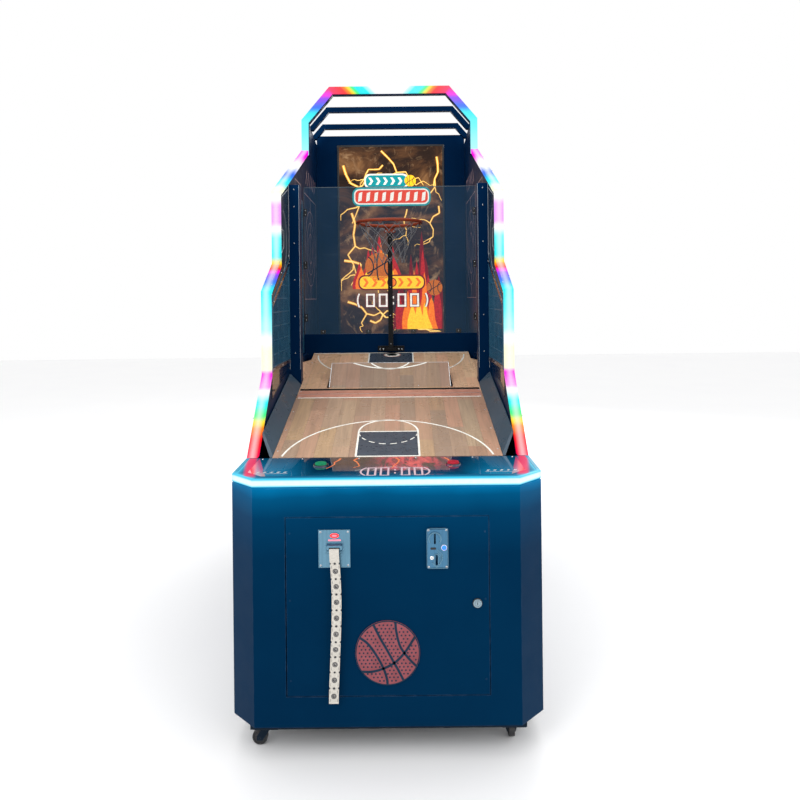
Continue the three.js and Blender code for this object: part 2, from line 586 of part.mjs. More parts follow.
const headerHalf = () => [[HALF_WIDTH, HEADER_FOOT_Z], [HALF_WIDTH, HEADER.shoulder_z],
  [HEADER.flat_half, HEADER.top_z]];
const headerLight = () => arch(headerHalf(), HEADER.band, HEADER.y, HEADER.y + 18);
const headerArch = () => arch(headerHalf(), HEADER.band + 4, HEADER.y + 18 + GAP, ROOF.front - GAP);

// An arch whose feet stand on the sloping tops of the walls.
const roofArch = (y, shoulder, flatHalf, topZ) => {
  const low = 60;
  const slope = (topZ - roofZ(y)) / (shoulder - flatHalf);
  const half = [[shoulder + low / slope, roofZ(y) - low], [flatHalf, topZ]];
  const whole = arch(half, 30, y - 15, y + 15);
  const under = prismX([[y - 99, roofZ(y - 99) + GAP], [y - 99, 0], [y + 99, 0], [y + 99, roofZ(y + 99) + GAP]],
    -999, 999);
  return cut(whole, under);
};

const backPanel = () => {
  const half = WALL_IN - GAP;
  const hole = [[-SCREEN.half - 2, SCREEN.low - 2], [SCREEN.half + 2, SCREEN.low - 2],
    [SCREEN.half + 2, SCREEN.high + 2], [-SCREEN.half - 2, SCREEN.high + 2]];
  return prismY([[-half, 1120], [half, 1120], [half, 2440], [444, 2467], [-444, 2467], [-half, 2440]],
    SCREEN.y + 6, SCREEN.y + 26, [hole]);
};

const screen = () => {
  const body = box(-SCREEN.half, SCREEN.half, SCREEN.y + 2, SCREEN.y + 44, SCREEN.low, SCREEN.high);
  const bezel = cut(box(-SCREEN.half, SCREEN.half, SCREEN.y, SCREEN.y + 4, SCREEN.low, SCREEN.high),
    box(-SCREEN.half + 10, SCREEN.half - 10, SCREEN.y - 1, SCREEN.y + 9, SCREEN.low + 10, SCREEN.high - 10));
  return join(body, bezel);
};

const rearCover = () => {
  const half = WALL_IN - GAP;
  const cover = box(-half, half, LENGTH - 14, LENGTH - GAP, CABINET_TOP_Z + GAP, 2400);
  const vents = steps(1000, 1180, 22).map((z) => box(-140, 140, LENGTH - 20, LENGTH + 1, z, z + 9));
  return cut(cover, ...vents);
};

const backboardFrame = () => {
  const out = WALL_IN - GAP;
  const post = box(POST.in, out, POST.y0, POST.y1, POST.low, POST.top);
  const rail = box(out - 24, out, POST.y1 - 1, 1560, RAIL.rail_z, RAIL.low);
  const beam = box(-out, out, 1540, 1580, 1060, BACKBOARD.low - GAP);
  return join(post, mirrored(post), rail, mirrored(rail), beam);
};

const backboard = () => {
  const { half, low, high, y, thickness } = BACKBOARD;
  return box(-half, half, y, y + thickness, low, high);
};

// ---------------------------------------------------------------- hoop

// The post stands on an arm that reaches forward from a plate bolted to the beam.
const POST_ARM = { z: 1164, plate: 1533, half: 70 };
const hoopPost = () => {
  const post = box(-12.5, 12.5, 1488, 1512, POST_ARM.z, HOOP.z + 14);
  const head = box(-19, 19, 1484, 1516, HOOP.z - 40, HOOP.z + 16);
  const arm = box(-27, 27, 1485, POST_ARM.plate + 1, POST_ARM.z, POST_ARM.z + 14);
  const plate = box(-POST_ARM.half, POST_ARM.half, POST_ARM.plate, 1540 - GAP, POST_ARM.z - 4, POST_ARM.z + 24);
  return join(post, head, arm, plate);
};

const hoopRim = () => {
  const ring = solidOf(new THREE.TorusGeometry(HOOP.radius, HOOP.tube, 8, 32).translate(0, HOOP.y, HOOP.z));
  const back = HOOP.y + HOOP.radius;
  const plate = box(-30, 30, 1478, 1483.6, HOOP.z - 34, HOOP.z + 12);
  const arms = [-1, 1].map((side) => bar([side * 40, back - 12, HOOP.z], [side * 20, 1480, HOOP.z], 6, 10));
  const brace = prismX([[back - 4, HOOP.z - 5], [1480, HOOP.z - 5], [1480, HOOP.z - 30]], -3, 3);
  return join(ring, plate, ...arms, brace);
};

const NET = { top: HOOP.z - HOOP.tube - 1, length: 190, mouth: 76, wall: 5 };

const hoopNet = () => {
  const rings = 6;
  const outer = Array.from({ length: rings }, (_, i) => {
    const t = i / (rings - 1);
    const flare = Math.pow(1 - t, 1.6);
    return [NET.mouth + (HOOP.radius - 6 - NET.mouth) * flare, NET.top - NET.length * t];
  });
  const inner = outer.map(([r, z]) => [r - NET.wall, z]).reverse();
  return turnedZ([...outer.slice().reverse(), ...inner.slice().reverse(), outer[rings - 1]], 0, HOOP.y, 20);
};

// ---------------------------------------------------------------- mains inlet and switch

const powerInlet = () => {
  const { x, z, half, high } = INLET;
  const body = box(x - half, x + half, LENGTH - 32, LENGTH + 1, z - high, z + high);
  const flange = box(x - half - 10, x + half + 10, LENGTH + GAP, LENGTH + 3, z - high - 4, z + high + 4);
  const socket = box(x - half + 4, x + half - 4, LENGTH - 18, LENGTH + 9, z - high + 4, z + high - 4);
  return cut(join(body, flange), socket);
};

const powerSwitch = () => {
  const { x, z, half } = SWITCH;
  const y = LENGTH;
  return prismX([[y - 12, z - 9], [y + 1, z - 12], [y + 3.5, z - 8], [y + 1.5, z], [y + 6, z + 9],
    [y + 1, z + 12.5], [y - 12, z + 9]], x - half + 1, x + half - 1);
};

// ---------------------------------------------------------------- assembly

place('base_frame', baseFrame(), 'black');
for (const caster of CASTERS) {
  place(`${caster.name}_caster_fork`, casterFork(caster), 'steel');
  place(`${caster.name}_caster_wheel`, casterWheel(caster), 'rubber');
}
place('front_cabinet', frontCabinet(), 'casing');
place('rear_cabinet', rearCabinet(), 'casing');
place('console_deck', consoleDeck(), 'gloss_black');
place('console_light', consoleLight(), 'light');
place('green_button', buttonCap(-BUTTONS.x), 'green');
place('red_button', buttonCap(BUTTONS.x), 'red');

place('service_door', serviceDoor(), 'casing');
place('door_lock', doorLock(), 'chrome');
place('coin_acceptor', coinAcceptor(), 'steel');
place('coin_reject_button', rejectButton(), 'blue');
place('ticket_dispenser', ticketDispenser(), 'steel');
place('ticket_strip', ticketStrip(), 'ticket');
place('speaker_grille', speakerGrille(), 'grille');
place('speaker_driver', speakerDriver(), 'black');

place('coin_box', coinBox(), 'steel');
place('power_supply', powerSupply(), 'steel');
place('control_board', controlBoard(), 'board');
place('power_inlet', powerInlet(), 'black');
place('power_switch', powerSwitch(), 'red');

place('front_court', frontCourt(), 'court');
place('rear_court', rearCourt(), 'court');
place('gate_flap', gateFlap(), 'court');
place('gate_motor', gateMotor(), 'black');
placePair('skirt', skirt(), 'tower');

placePair('front_wall', frontWall(), 'tower');
placePair('rear_wall', rearWall(), 'tower');
placePair('light_strip', lightStrip(), 'light');
placePair('lower_lining', lowerLining(), 'gloss_black');
placePair('print_panel', printPanel(), 'print');
placePair('front_mesh', frontMesh(), 'mesh');
placePair('rear_mesh', rearMesh(), 'mesh');

place('header_light', headerLight(), 'light');
place('header_arch', headerArch(), 'tower');
place('middle_roof_arch', roofArch(1987, 494, 374.5, 2578), 'tower');
place('rear_roof_arch', roofArch(2140, 494, 415.5, 2515), 'tower');
place('back_panel', backPanel(), 'tower');
place('screen', screen(), 'gloss_black');
place('rear_cover', rearCover(), 'casing');
place('backboard_frame', backboardFrame(), 'tower');
place('backboard', backboard(), 'clear');
place('hoop_post', hoopPost(), 'black');
place('hoop_rim', hoopRim(), 'rim');
place('hoop_net', hoopNet(), 'net');

const bounds = new THREE.Box3().setFromObject(machine);
machine.position.set(-(bounds.min.x + bounds.max.x) / 2, -(bounds.min.y + bounds.max.y) / 2, -bounds.min.z);

export default machine;
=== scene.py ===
"""The looks of a basketball hoop arcade machine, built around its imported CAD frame.

+Z up, +Y into the machine. Shapes are measured in millimetres, looks and the stage in metres, and MM turns
millimetres into metres.
"""
import json
import math
import random
from itertools import groupby, product

import bmesh
import bpy
from mathutils import Matrix, Vector


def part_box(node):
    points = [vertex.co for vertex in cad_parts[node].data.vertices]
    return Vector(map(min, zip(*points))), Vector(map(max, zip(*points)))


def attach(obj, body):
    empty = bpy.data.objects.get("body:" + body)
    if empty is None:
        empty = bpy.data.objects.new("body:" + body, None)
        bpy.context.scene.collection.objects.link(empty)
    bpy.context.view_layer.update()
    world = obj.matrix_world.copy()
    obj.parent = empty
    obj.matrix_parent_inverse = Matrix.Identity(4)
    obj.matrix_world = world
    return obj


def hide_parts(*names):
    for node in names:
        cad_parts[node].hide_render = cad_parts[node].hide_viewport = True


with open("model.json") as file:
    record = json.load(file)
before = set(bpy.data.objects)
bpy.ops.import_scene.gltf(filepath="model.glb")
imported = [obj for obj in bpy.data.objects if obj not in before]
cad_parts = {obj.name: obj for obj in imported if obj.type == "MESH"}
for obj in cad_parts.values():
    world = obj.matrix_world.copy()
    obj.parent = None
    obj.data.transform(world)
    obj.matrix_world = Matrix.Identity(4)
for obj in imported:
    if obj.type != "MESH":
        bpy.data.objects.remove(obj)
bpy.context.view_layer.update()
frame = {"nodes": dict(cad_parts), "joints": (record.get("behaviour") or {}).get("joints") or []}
NODES = frame["nodes"]
JOINTS = {joint["name"]: joint for joint in frame["joints"]}
MM = 0.001
BOTH = (-1, 1)

# ---- places, from the frame

X, Y, Z = Vector((1, 0, 0)), Vector((0, 1, 0)), Vector((0, 0, 1))
SIDES = {"right": 1, "left": -1}
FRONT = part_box("front_cabinet")[0][1]
CONSOLE_LOW, CONSOLE_HIGH = (corner[2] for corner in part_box("console_light"))


def box(node):
    """The low and high corners of a CAD node's box, in millimetres."""
    return [[value / MM for value in corner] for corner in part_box(node)]


def joint_at(name):
    return Vector(JOINTS[name]["pos_m"]) / MM


FACE_Y = FRONT / MM
DECK_Z = CONSOLE_HIGH / MM - 1
WALL_IN = box("right_print_panel")[0][0]
COURT_SLOPE = math.atan2(281, 1260)
FLAP_SLOPE = COURT_SLOPE + math.radians(22)
FLAP_FROM = 728.5
FLAP_LENGTH = 175


class Plane:
    """A flat working surface: a along u, b along v, and h out of it."""

    def __init__(self, origin, u=X, v=Z, normal=None):
        self.origin, self.u, self.v = Vector(origin), Vector(u), Vector(v)
        self.n = normal or self.u.cross(self.v)

    def at(self, a, b, h=0.0):
        return self.origin + a * self.u + b * self.v + h * self.n

    def raised(self, height):
        return Plane(self.at(0, 0, height), self.u, self.v)

    def turned(self, angle):
        u = math.cos(angle) * self.u + math.sin(angle) * self.v
        return Plane(self.origin, u, self.n.cross(u), self.n)


def tilted(angle):
    return Vector((0, math.cos(angle), math.sin(angle)))


FACE = Plane((0, FACE_Y, 0))
COURT = Plane((0, FACE_Y + 300, 877), X, tilted(COURT_SLOPE))
FLAP = Plane(joint_at("ball_gate_hinge"), X, tilted(FLAP_SLOPE)).raised(6)
DECK = Plane((0, FACE_Y, DECK_Z), X, Y)
SCREEN = Plane((0, box("screen")[0][1] + 2, 0))
WALLS = {side: Plane((sign * WALL_IN, FACE_Y, 0), -sign * Y) for side, sign in SIDES.items()}


# ---- outlines

def grid(firsts, seconds):
    """Every pair of a first and a second number."""
    return list(product(firsts, seconds))


def arc(centre, radii, start=0, end=360, steps=24):
    """Points on an arc of a circle, or of an ellipse if there are two radii. Angles are in degrees."""
    rx, ry = radii if isinstance(radii, tuple) else (radii, radii)
    angles = [math.radians(start + (end - start) * i / steps) for i in range(steps + 1)]
    return [(centre[0] + rx * math.cos(t), centre[1] + ry * math.sin(t)) for t in angles]


def circle(centre, radii, steps=24):
    return arc(centre, radii, steps=steps)[:-1]


def rectangle(a0, a1, b0, b1):
    return [(a0, b0), (a1, b0), (a1, b1), (a0, b1)]


def around(centre, half_a, half_b):
    """A rectangle about its middle."""
    a, b = centre
    return rectangle(a - half_a, a + half_a, b - half_b, b + half_b)


def rounded(a0, a1, b0, b1, radius, steps=5):
    corners = [(a1 - radius, b1 - radius), (a0 + radius, b1 - radius),
               (a0 + radius, b0 + radius), (a1 - radius, b0 + radius)]
    return [p for i, corner in enumerate(corners) for p in arc(corner, radius, 90 * i, 90 * i + 90, steps)]


def turning(count, offset=0.0):
    """Angles round a full turn, in radians."""
    return [2 * math.pi * (i + offset) / count for i in range(count)]


def side_points(path, half, closed):
    """The path moved half a width to each side, with mitred corners."""
    points = [Vector(p) for p in path]
    count = len(points)
    left, right = [], []
    for i, point in enumerate(points):
        spans = [(points[i - 1], point)] if i or closed else []
        spans += [(point, points[(i + 1) % count])] if i < count - 1 or closed else []
        ways = [(end - start).normalized() for start, end in spans]
        total = sum((Vector((-way.y, way.x)) for way in ways), Vector((0, 0)))
        shift = total * (half * len(ways) / max(total.length_squared, 1e-9))
        left.append(point + shift)
        right.append(point - shift)
    return left, right


def smooth_path(points, per_span=10):
    """Points along a Catmull-Rom curve through the given ones."""
    padded = [Vector(p) for p in (points[0], *points, points[-1])]
    result = []
    for p0, p1, p2, p3 in zip(padded, padded[1:], padded[2:], padded[3:]):
        for t in (k / per_span for k in range(per_span)):
            result.append(0.5 * ((2 * p1) + (p2 - p0) * t + (2 * p0 - 5 * p1 + 4 * p2 - p3) * t * t
                                 + (3 * p1 - p0 - 3 * p2 + p3) * t ** 3))
    return [*result, padded[-1]]


# ---- mesh building

class Shape:
    """Collects solids, each in one of several materials, and makes one piece of them."""

    def __init__(self):
        self.verts, self.faces, self.paint = [], [], []

    def add(self, verts, faces, paint=0):
        base = len(self.verts)
        self.verts += [Vector(v) for v in verts]
        self.faces += [tuple(base + i for i in face) for face in faces]
        self.paint += [paint] * len(faces)
        return self

    def skin(self, verts, sides, paint=0, closed=False, start=True, end=True):
        """Joins rows of points, each row with the same number of sides, and caps the ends."""
        rows = len(verts) // sides
        faces = []
        neighbours = [(i, (i + 1) % sides) for i in range(sides)]
        for row in range(rows if closed else rows - 1):
            here, ahead = row * sides, (row + 1) % rows * sides
            faces += [(here + i, here + j, ahead + j, ahead + i) for i, j in neighbours]
        if start and not closed:
            faces.append(tuple(range(sides))[::-1])
        if end and not closed:
            faces.append(tuple(range(len(verts) - sides, len(verts))))
        return self.add(verts, faces, paint)

    def slab(self, plane, outline, low, high, paint=0):
        """An outline made solid from one height to another."""
        return self.skin([plane.at(a, b, h) for h in (low, high) for a, b in outline], len(outline), paint)

    def band(self, plane, path, width, low, high, paint=0, closed=False):
        """A strip along a path, solid from one height to another."""
        left, right = side_points(path, width / 2, closed)
        verts = []
        for l, r in zip(left, right):
            verts += [plane.at(*l, low), plane.at(*r, low), plane.at(*r, high), plane.at(*l, high)]
        return self.skin(verts, 4, paint, closed)

    def turned(self, plane, centre, profile, sides=32, paint=0, closed=False):
        """A solid of revolution about the plane's normal, from points of radius and height."""
        verts = [plane.at(centre[0] + radius * math.cos(t), centre[1] + radius * math.sin(t), height)
                 for radius, height in profile for t in turning(sides)]
        return self.skin(verts, sides, paint, closed, profile[0][0] > 0, profile[-1][0] > 0)

    def tube(self, points, radius, sides=8, closed=False):
        points = [Vector(p) for p in points]
        count = len(points)
        normal = None
        verts = []
        for i, point in enumerate(points):
            before = points[i - 1] if i or closed else point
            after = points[(i + 1) % count] if i < count - 1 or closed else point
            way = (after - before).normalized()
            normal = normal or way.orthogonal().normalized()
            normal = (normal - way * normal.dot(way)).normalized()
            other = way.cross(normal)
            verts += [point + radius * (math.cos(t) * normal + math.sin(t) * other) for t in turning(sides)]
        return self.skin(verts, sides, closed=closed)

    def screw(self, plane, centre, r=4, h=0, paint=0):
        """A pan head of radius r, standing from height h, with a cross recess in the next paint: a near-black
        cross laid on the head, painted shade in place of a cut.
        """
        profile = [(r, h - 1), (r, h + 0.5), (r * 0.85, h + 1.3), (r * 0.5, h + 1.8), (0, h + 1.9)]
        self.turned(plane, centre, profile, 14, paint)
        for half_a, half_b in ((r * 0.11, r * 0.62), (r * 0.62, r * 0.11)):
            self.slab(plane, around(centre, half_a, half_b), h + 1.5, h + 2, paint + 1)

    def screws(self, plane, centres, *args):
        for centre in centres:
            self.screw(plane, centre, *args)

    def piece(self, name, materials, body="root", slot=None, smooth=0.0, bevel=0.0, replaces=()):
        """Makes the object and rides it on its body; its slot is not used. smooth is an angle in degrees."""
        mesh = bpy.data.meshes.new(name)
        mesh.from_pydata([tuple(v * MM) for v in self.verts], [], self.faces)
        for material in materials:
            mesh.materials.append(material)
        for polygon, paint in zip(mesh.polygons, self.paint):
            polygon.material_index = paint
        work = bmesh.new()
        work.from_mesh(mesh)
        bmesh.ops.remove_doubles(work, verts=work.verts, dist=1e-6)
        bmesh.ops.recalc_face_normals(work, faces=work.faces)
        work.to_mesh(mesh)
        work.free()
        mesh.validate()
        thing = placed(name, mesh)
        if smooth:
            mesh.shade_smooth()
            mesh.set_sharp_from_angle(angle=math.radians(smooth))
        if bevel:
            edge = thing.modifiers.new("edges", "BEVEL")
            edge.width = bevel * MM
            edge.segments = 2
            edge.limit_method = "ANGLE"
            edge.angle_limit = math.radians(40)
            edge.harden_normals = False
        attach(thing, body)
        if replaces:
            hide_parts(*replaces)
        return thing


def placed(name, data):
    """A new object in the scene."""
    thing = bpy.data.objects.new(name, data)
    bpy.context.scene.collection.objects.link(thing)
    return thing


# ---- materials

class Field:
    """A node's output, whose arithmetic adds math nodes."""

    def __init__(self, look, socket):
        self.look, self.socket = look, socket

    def math(self, operation, other=0.0):
        return self.look.node("Math", {0: self, 1: other}, operation=operation)

    def __add__(self, other):
        return self.math("ADD", other)

    def __sub__(self, other):
        return self.math("SUBTRACT", other)

    def __rsub__(self, other):
        return self.look.node("Math", {0: other, 1: self}, operation="SUBTRACT")

    def __mul__(self, other):
        return self.math("MULTIPLY", other)

    def __truediv__(self, other):
        return self.math("DIVIDE", other)

    def __abs__(self):
        return self.math("ABSOLUTE")

    def range(self, low, high, to_low=0.0, to_high=1.0):
        return self.look.node("MapRange", {0: self, 1: low, 2: high, 3: to_low, 4: to_high})

    def ramp(self, stops, mode="LINEAR"):
        """Colours at places along the field."""
        made = self.look.node("ValToRGB", {"Fac": self})
        ramp = made.socket.node.color_ramp
        ramp.interpolation = mode
        while len(ramp.elements) < len(stops):
            ramp.elements.new(0.5)
        for element, (place, colour) in zip(ramp.elements, stops):
            element.position = place
            element.color = (*colour, 1)
        return made


class Look:
    """A material under construction, with short names for the nodes it uses."""

    def __init__(self, name, rough=0.5, metallic=0.0, **sockets):
        self.material = bpy.data.materials.new(name)
        self.material.use_nodes = True
        self.tree = self.material.node_tree
        self.shader = self.tree.nodes["Principled BSDF"]
        self.set(Roughness=rough, Metallic=metallic, **sockets)
        self.object = self.node("TexCoord", output="Object")

    def plug(self, socket, value):
        if isinstance(value, Field):
            self.tree.links.new(value.socket, socket)
        else:
            socket.default_value = value

    def set(self, **sockets):
        """Puts constants and fields on the shader's own sockets."""
        for name, value in sockets.items():
            self.plug(self.shader.inputs[name.replace("_", " ")], value)

    def node(self, kind, inputs=(), output=0, **settings):
        made = self.tree.nodes.new("ShaderNode" + kind)
        for key, value in settings.items():
            setattr(made, key, value)
        for key, value in dict(inputs).items():
            self.plug(made.inputs[key], value)
        return Field(self, made.outputs[output])

    def axes(self, names):
        """The object's coordinates along the named axes."""
        split = self.node("SeparateXYZ", {"Vector": self.object}).socket.node
        return [Field(self, split.outputs[name]) for name in names]

    def scaled(self, sx, sy, sz, turn=(0, 0, 0)):
        return self.node("Mapping", {"Vector": self.object, "Scale": (sx, sy, sz), "Rotation": turn})

    def noise(self, scale, detail=3.0, rough=0.5, vector=None, distortion=0.0):
        inputs = {"Vector": vector or self.object, "Scale": scale, "Detail": detail, "Roughness": rough,
                  "Distortion": distortion}
        return self.node("TexNoise", inputs, "Fac")

    def mix(self, fac, a, b, blend="MIX"):
        a, b = (c if isinstance(c, Field) else (*c, 1) for c in (a, b))
        return self.node("Mix", {0: fac, 6: a, 7: b}, 2, data_type="RGBA", blend_type=blend)

    def bevel(self, radius):
        return self.node("Bevel", {"Radius": radius}, samples=4)

    def edge_wear(self, radius):
        """Where an outer edge is, in rubbed patches: the rounded normal turns away from the flat one."""
        flat = self.node("NewGeometry", output="True Normal")
        inputs = {0: self.bevel(2.5 * radius), 1: flat}
        turned = self.node("VectorMath", inputs, "Value", operation="DOT_PRODUCT")
        return turned.range(0.99, 0.80) * self.noise(30, 4, 0.6).range(0.42, 0.60, 0.15, 0.7)

    def bumped(self, height, strength=0.3, distance=0.5 * MM, round_edges=0.0):
        """Adds a bump map, with rounded edges if there is a radius for them, and gives the material."""
        inputs = {"Height": height, "Strength": strength, "Distance": distance}
        if round_edges:
            inputs["Normal"] = self.bevel(round_edges)
        self.set(Normal=self.node("Bump", inputs))
        return self.material


BLACK = (0.0, 0.0, 0.0)


def toned(colour, scale, lift=0.0):
    return [min(1.0, c * scale + lift) for c in colour]


def painted(name, colour, second, rough=0.4, edge=1.5 * MM, shine=0.12, tint=None, glow=None):
    """Satin paint: two close shades in soft clouds, orange peel, dust specks, and worn, rounded edges."""
    look = Look(name, rough, Specular_IOR_Level=shine)
    body = look.mix(look.noise(2.2, 4, 0.55).range(0.35, 0.65), colour, second)
    specks = look.noise(420, 2, 0.6).range(0.66, 0.78) * 0.35
    dusty = look.mix(specks, body, toned(colour, 1.8, 0.003))
    look.set(Base_Color=look.mix(look.edge_wear(edge), dusty, toned(colour, 2.0, 0.05)),
             Roughness=look.noise(14, 5, 0.6).range(0.3, 0.7, rough - 0.07, rough + 0.1))
    if tint:
        look.set(Specular_Tint=(*tint, 1))
    if glow:
        look.set(Emission_Color=glow(look), Emission_Strength=1.0)
    return look.bumped(look.noise(650, 3, 0.5), 0.12, 0.3 * MM, edge)


def console_glow(look):
    """Cyan light from the console's strip, falling on the cabinet's front just below it."""
    y, z = look.axes("YZ")
    level = z.range(0.45, CONSOLE_LOW) * y.range(FRONT + 0.34, FRONT + 0.10)
    uneven = look.noise(4, 2).range(0.3, 0.7, 0.94, 1.0)
    return (level * uneven).ramp([(0.0, BLACK), (0.45, (0.0, 0.003, 0.008)), (0.75, (0.0, 0.020, 0.050)),
                                  (0.90, (0.0, 0.065, 0.15)), (1.0, (0.0, 0.18, 0.40))])


def strip_spill(look, away, ahead, under):
    """Red light of the side strips' feet, in a line across each end of the deck."""
    foot = ahead * 0.173 + 0.429
    spill = abs(away - foot).range(0.023, 0.012, 0.0, 0.9) * ahead.range(0.025, 0.060)
    return look.mix(spill, under, (0.90, 0.006, 0.055))


def deck_glow(look):
    """Light on the glossy deck: cyan at its edges, the screen's warm light amid them, red by the strips."""
    x, y = look.axes("XY")
    away = abs(x)
    front = y.range(FRONT + 0.200, FRONT + 0.020)
    side = away.range(0.16, 0.34) * y.range(FRONT + 0.300, FRONT + 0.05, 0.45, 1.0)
    level = (front * 0.62).math("MAXIMUM", side)
    cool = (level * look.noise(6, 3).range(0.3, 0.7, 0.8, 1.0)).ramp([
        (0.0, BLACK), (0.3, (0.0, 0.036, 0.085)), (0.65, (0.004, 0.165, 0.33)), (1.0, (0.016, 0.34, 0.60))])
    patch = abs(x - 0.085).range(0.17, 0.05) * y.range(FRONT + 0.07, FRONT + 0.15)
    tongues = look.noise(1.0, 4, 0.6, look.scaled(22, 7, 7), 1.4).range(0.36, 0.60)
    warm = (patch * tongues).ramp([
        (0.0, BLACK), (0.25, (0.07, 0.003, 0.018)), (0.6, (0.48, 0.020, 0.065)), (1.0, (0.90, 0.08, 0.10))])
    return strip_spill(look, away, y - FRONT, look.mix(1.0, cool, warm, "ADD"))


def border_glow(look):
    """The strip's light bleeding into the deck's frosted border, strongest at its outer edge."""
    x, y = look.axes("XY")
    away, ahead = abs(x), y - FRONT
    chamfer = (ahead + 0.419 - away) * math.sqrt(0.5)
    inwards = ahead.math("MINIMUM", chamfer).math("MINIMUM", 0.5 - away)
    return strip_spill(look, away, ahead, inwards.range(0.047, 0.012).ramp([
        (0.0, (0.0, 0.070, 0.150)), (0.4, (0.0, 0.115, 0.230)), (0.72, (0.01, 0.26, 0.42)),
        (1.0, (0.10, 0.62, 0.80))]))


def brushed(name, colour, rough=0.3, stretch=(600, 600, 8), edge=0.8 * MM):
    """Brushed metal: long fine scratches one way, broad smudges and small tone changes."""
    look = Look(name, rough, 1.0)
    lines = look.noise(1.0, 4, 0.6, look.scaled(*stretch))
    look.set(Base_Color=look.mix(lines.range(0.3, 0.7), toned(colour, 0.72), colour),
             Roughness=(lines + look.noise(9, 4, 0.6)).range(0.7, 1.3, rough - 0.08, rough + 0.15))
    return look.bumped(lines, 0.18, 0.2 * MM, edge)


def moulded(name, colour, rough=0.45, grain=900, **sockets):
    """Moulded plastic: a fine spark-eroded grain and slight tone changes."""
    look = Look(name, rough, **sockets)
    tones = look.noise(30, 4, 0.6).range(0.3, 0.7)
    look.set(Base_Color=look.mix(tones, colour, toned(colour, 1.35, 0.004)),
             Roughness=look.noise(60, 3, 0.5).range(0.3, 0.7, rough - 0.06, rough + 0.08))
    return look.bumped(look.noise(grain, 2, 0.5), 0.15, 0.2 * MM, 0.8 * MM)


def glossy(name, colour, rough=0.06, glow=None, coat=1.9):
    """Polished black: nearly a mirror, with faint wipe marks and a few dust specks."""
    look = Look(name, rough, Coat_Weight=1.0, Coat_Roughness=0.02, Coat_IOR=coat, Specular_IOR_Level=0.15)
    wipes = look.noise(1.0, 4, 0.6, look.scaled(9, 40, 9, (0, 0, 0.5)))
    dust = look.noise(500, 2, 0.6).range(0.68, 0.8) * 0.5
    look.set(Base_Color=look.mix(dust, colour, toned(colour, 1.0, 0.03)),
             Roughness=wipes.range(0.35, 0.75, rough, rough + 0.1))
    if glow:
        look.set(Emission_Color=glow(look), Emission_Strength=1.0)
    return look.bumped(wipes, 0.02, 0.2 * MM, 1 * MM)


def shine(look, colour, strength, dimmed=0.95, emitted=None):
    """Makes the look give off its colour, with little of it left to reflect."""
    look.set(Base_Color=look.mix(dimmed, colour, BLACK), Emission_Color=emitted or colour,
             Emission_Strength=strength)


def lit(name, colour, strength, second=None):
    """A lamp or lit print, and also the deck's painted reflection of the screen: emission with a soft mottle
    of its diffuser.
    """
    look = Look(name, 0.35, Specular_IOR_Level=0.12)
    mottle = look.noise(160, 3, 0.5).range(0.3, 0.7)
    shine(look, look.mix(mottle, second or toned(colour, 0.75), colour), strength, 0.8)
    return look.bumped(look.noise(700, 2), 0.05, 0.2 * MM)


RED, CRIMSON, ORANGE, YELLOW = (1.0, 0.01, 0.02), (0.95, 0.005, 0.10), (1.0, 0.22, 0.0), (1.0, 0.75, 0.02)
GREEN, CYAN, SKY, BLUE = (0.05, 0.95, 0.25), (0.0, 0.85, 0.9), (0.1, 0.9, 1.0), (0.02, 0.16, 1.0)
VIOLET, MAGENTA, PINK, LILAC = (0.25, 0.05, 0.95), (0.95, 0.0, 0.75), (1.0, 0.25, 0.8), (0.85, 0.35, 1.0)
WHITE, WARM, PALE_CYAN = (1.0, 1.0, 1.0), (1.0, 0.98, 0.70), (0.35, 1.0, 1.0)

# Height in metres and colour, up the side light strips.
SIDE_COLOURS = [
    (0.86, CRIMSON), (0.93, RED), (0.962, ORANGE), (0.982, YELLOW), (1.005, GREEN), (1.045, CYAN),
    (1.085, WHITE), (1.10, PINK), (1.145, MAGENTA), (1.165, WARM), (1.235, WARM), (1.28, WHITE),
    (1.325, PALE_CYAN), (1.40, SKY), (1.475, CYAN), (1.515, BLUE), (1.542, VIOLET), (1.556, MAGENTA),
    (1.57, RED), (1.583, ORANGE), (1.597, YELLOW), (1.625, CYAN), (1.70, SKY), (1.745, WHITE), (1.775, LILAC),
    (1.84, LILAC), (1.878, WHITE), (1.92, WARM), (1.97, CYAN), (2.04, BLUE), (2.12, WHITE), (2.22, MAGENTA)]
# The same up the header's legs and chamfers, then on along its top towards the middle.
HEADER_COLOURS = [
    (2.26, PALE_CYAN), (2.44, SKY), (2.49, CYAN), (2.53, BLUE), (2.575, VIOLET), (2.60, MAGENTA),
    (2.64, CRIMSON), (2.70, RED), (2.725, ORANGE), (2.745, YELLOW), (2.77, GREEN), (2.79, CYAN),
    (2.83, CYAN), (2.85, PALE_CYAN), (2.88, WHITE), (2.99, WHITE)]
HEADER_FLAT_HALF = 0.341
STRIP_CENTRE = 0.481


def light_strip_look(name, colours, low, high, header=False):
    """A frosted light tube whose colour runs along it, brighter in its middle."""
    look = Look(name, 0.4, Specular_IOR_Level=0.1)
    x, along = look.axes("XZ")
    away = abs(x)
    if header:
        along = along + (HEADER_FLAT_HALF - away.math("MINIMUM", HEADER_FLAT_HALF))
        core = look.noise(3, 2).range(0.3, 0.7, 0.02, 0.16)
    else:
        core = abs(away - STRIP_CENTRE).range(0.003, 0.018, 0.42, 0.0)
    hue = along.range(low, high).ramp([((z - low) / (high - low), colour) for z, colour in colours], "EASE")
    colour = look.mix(core, hue, WHITE)
    dots = look.noise(150, 2, 0.4).range(0.35, 0.65, 0.92, 1.0)
    grey = look.node("CombineColor", {"Red": dots, "Green": dots, "Blue": dots})
    shine(look, colour, 1.08, emitted=look.mix(1.0, colour, grey, "MULTIPLY"))
    return look.material


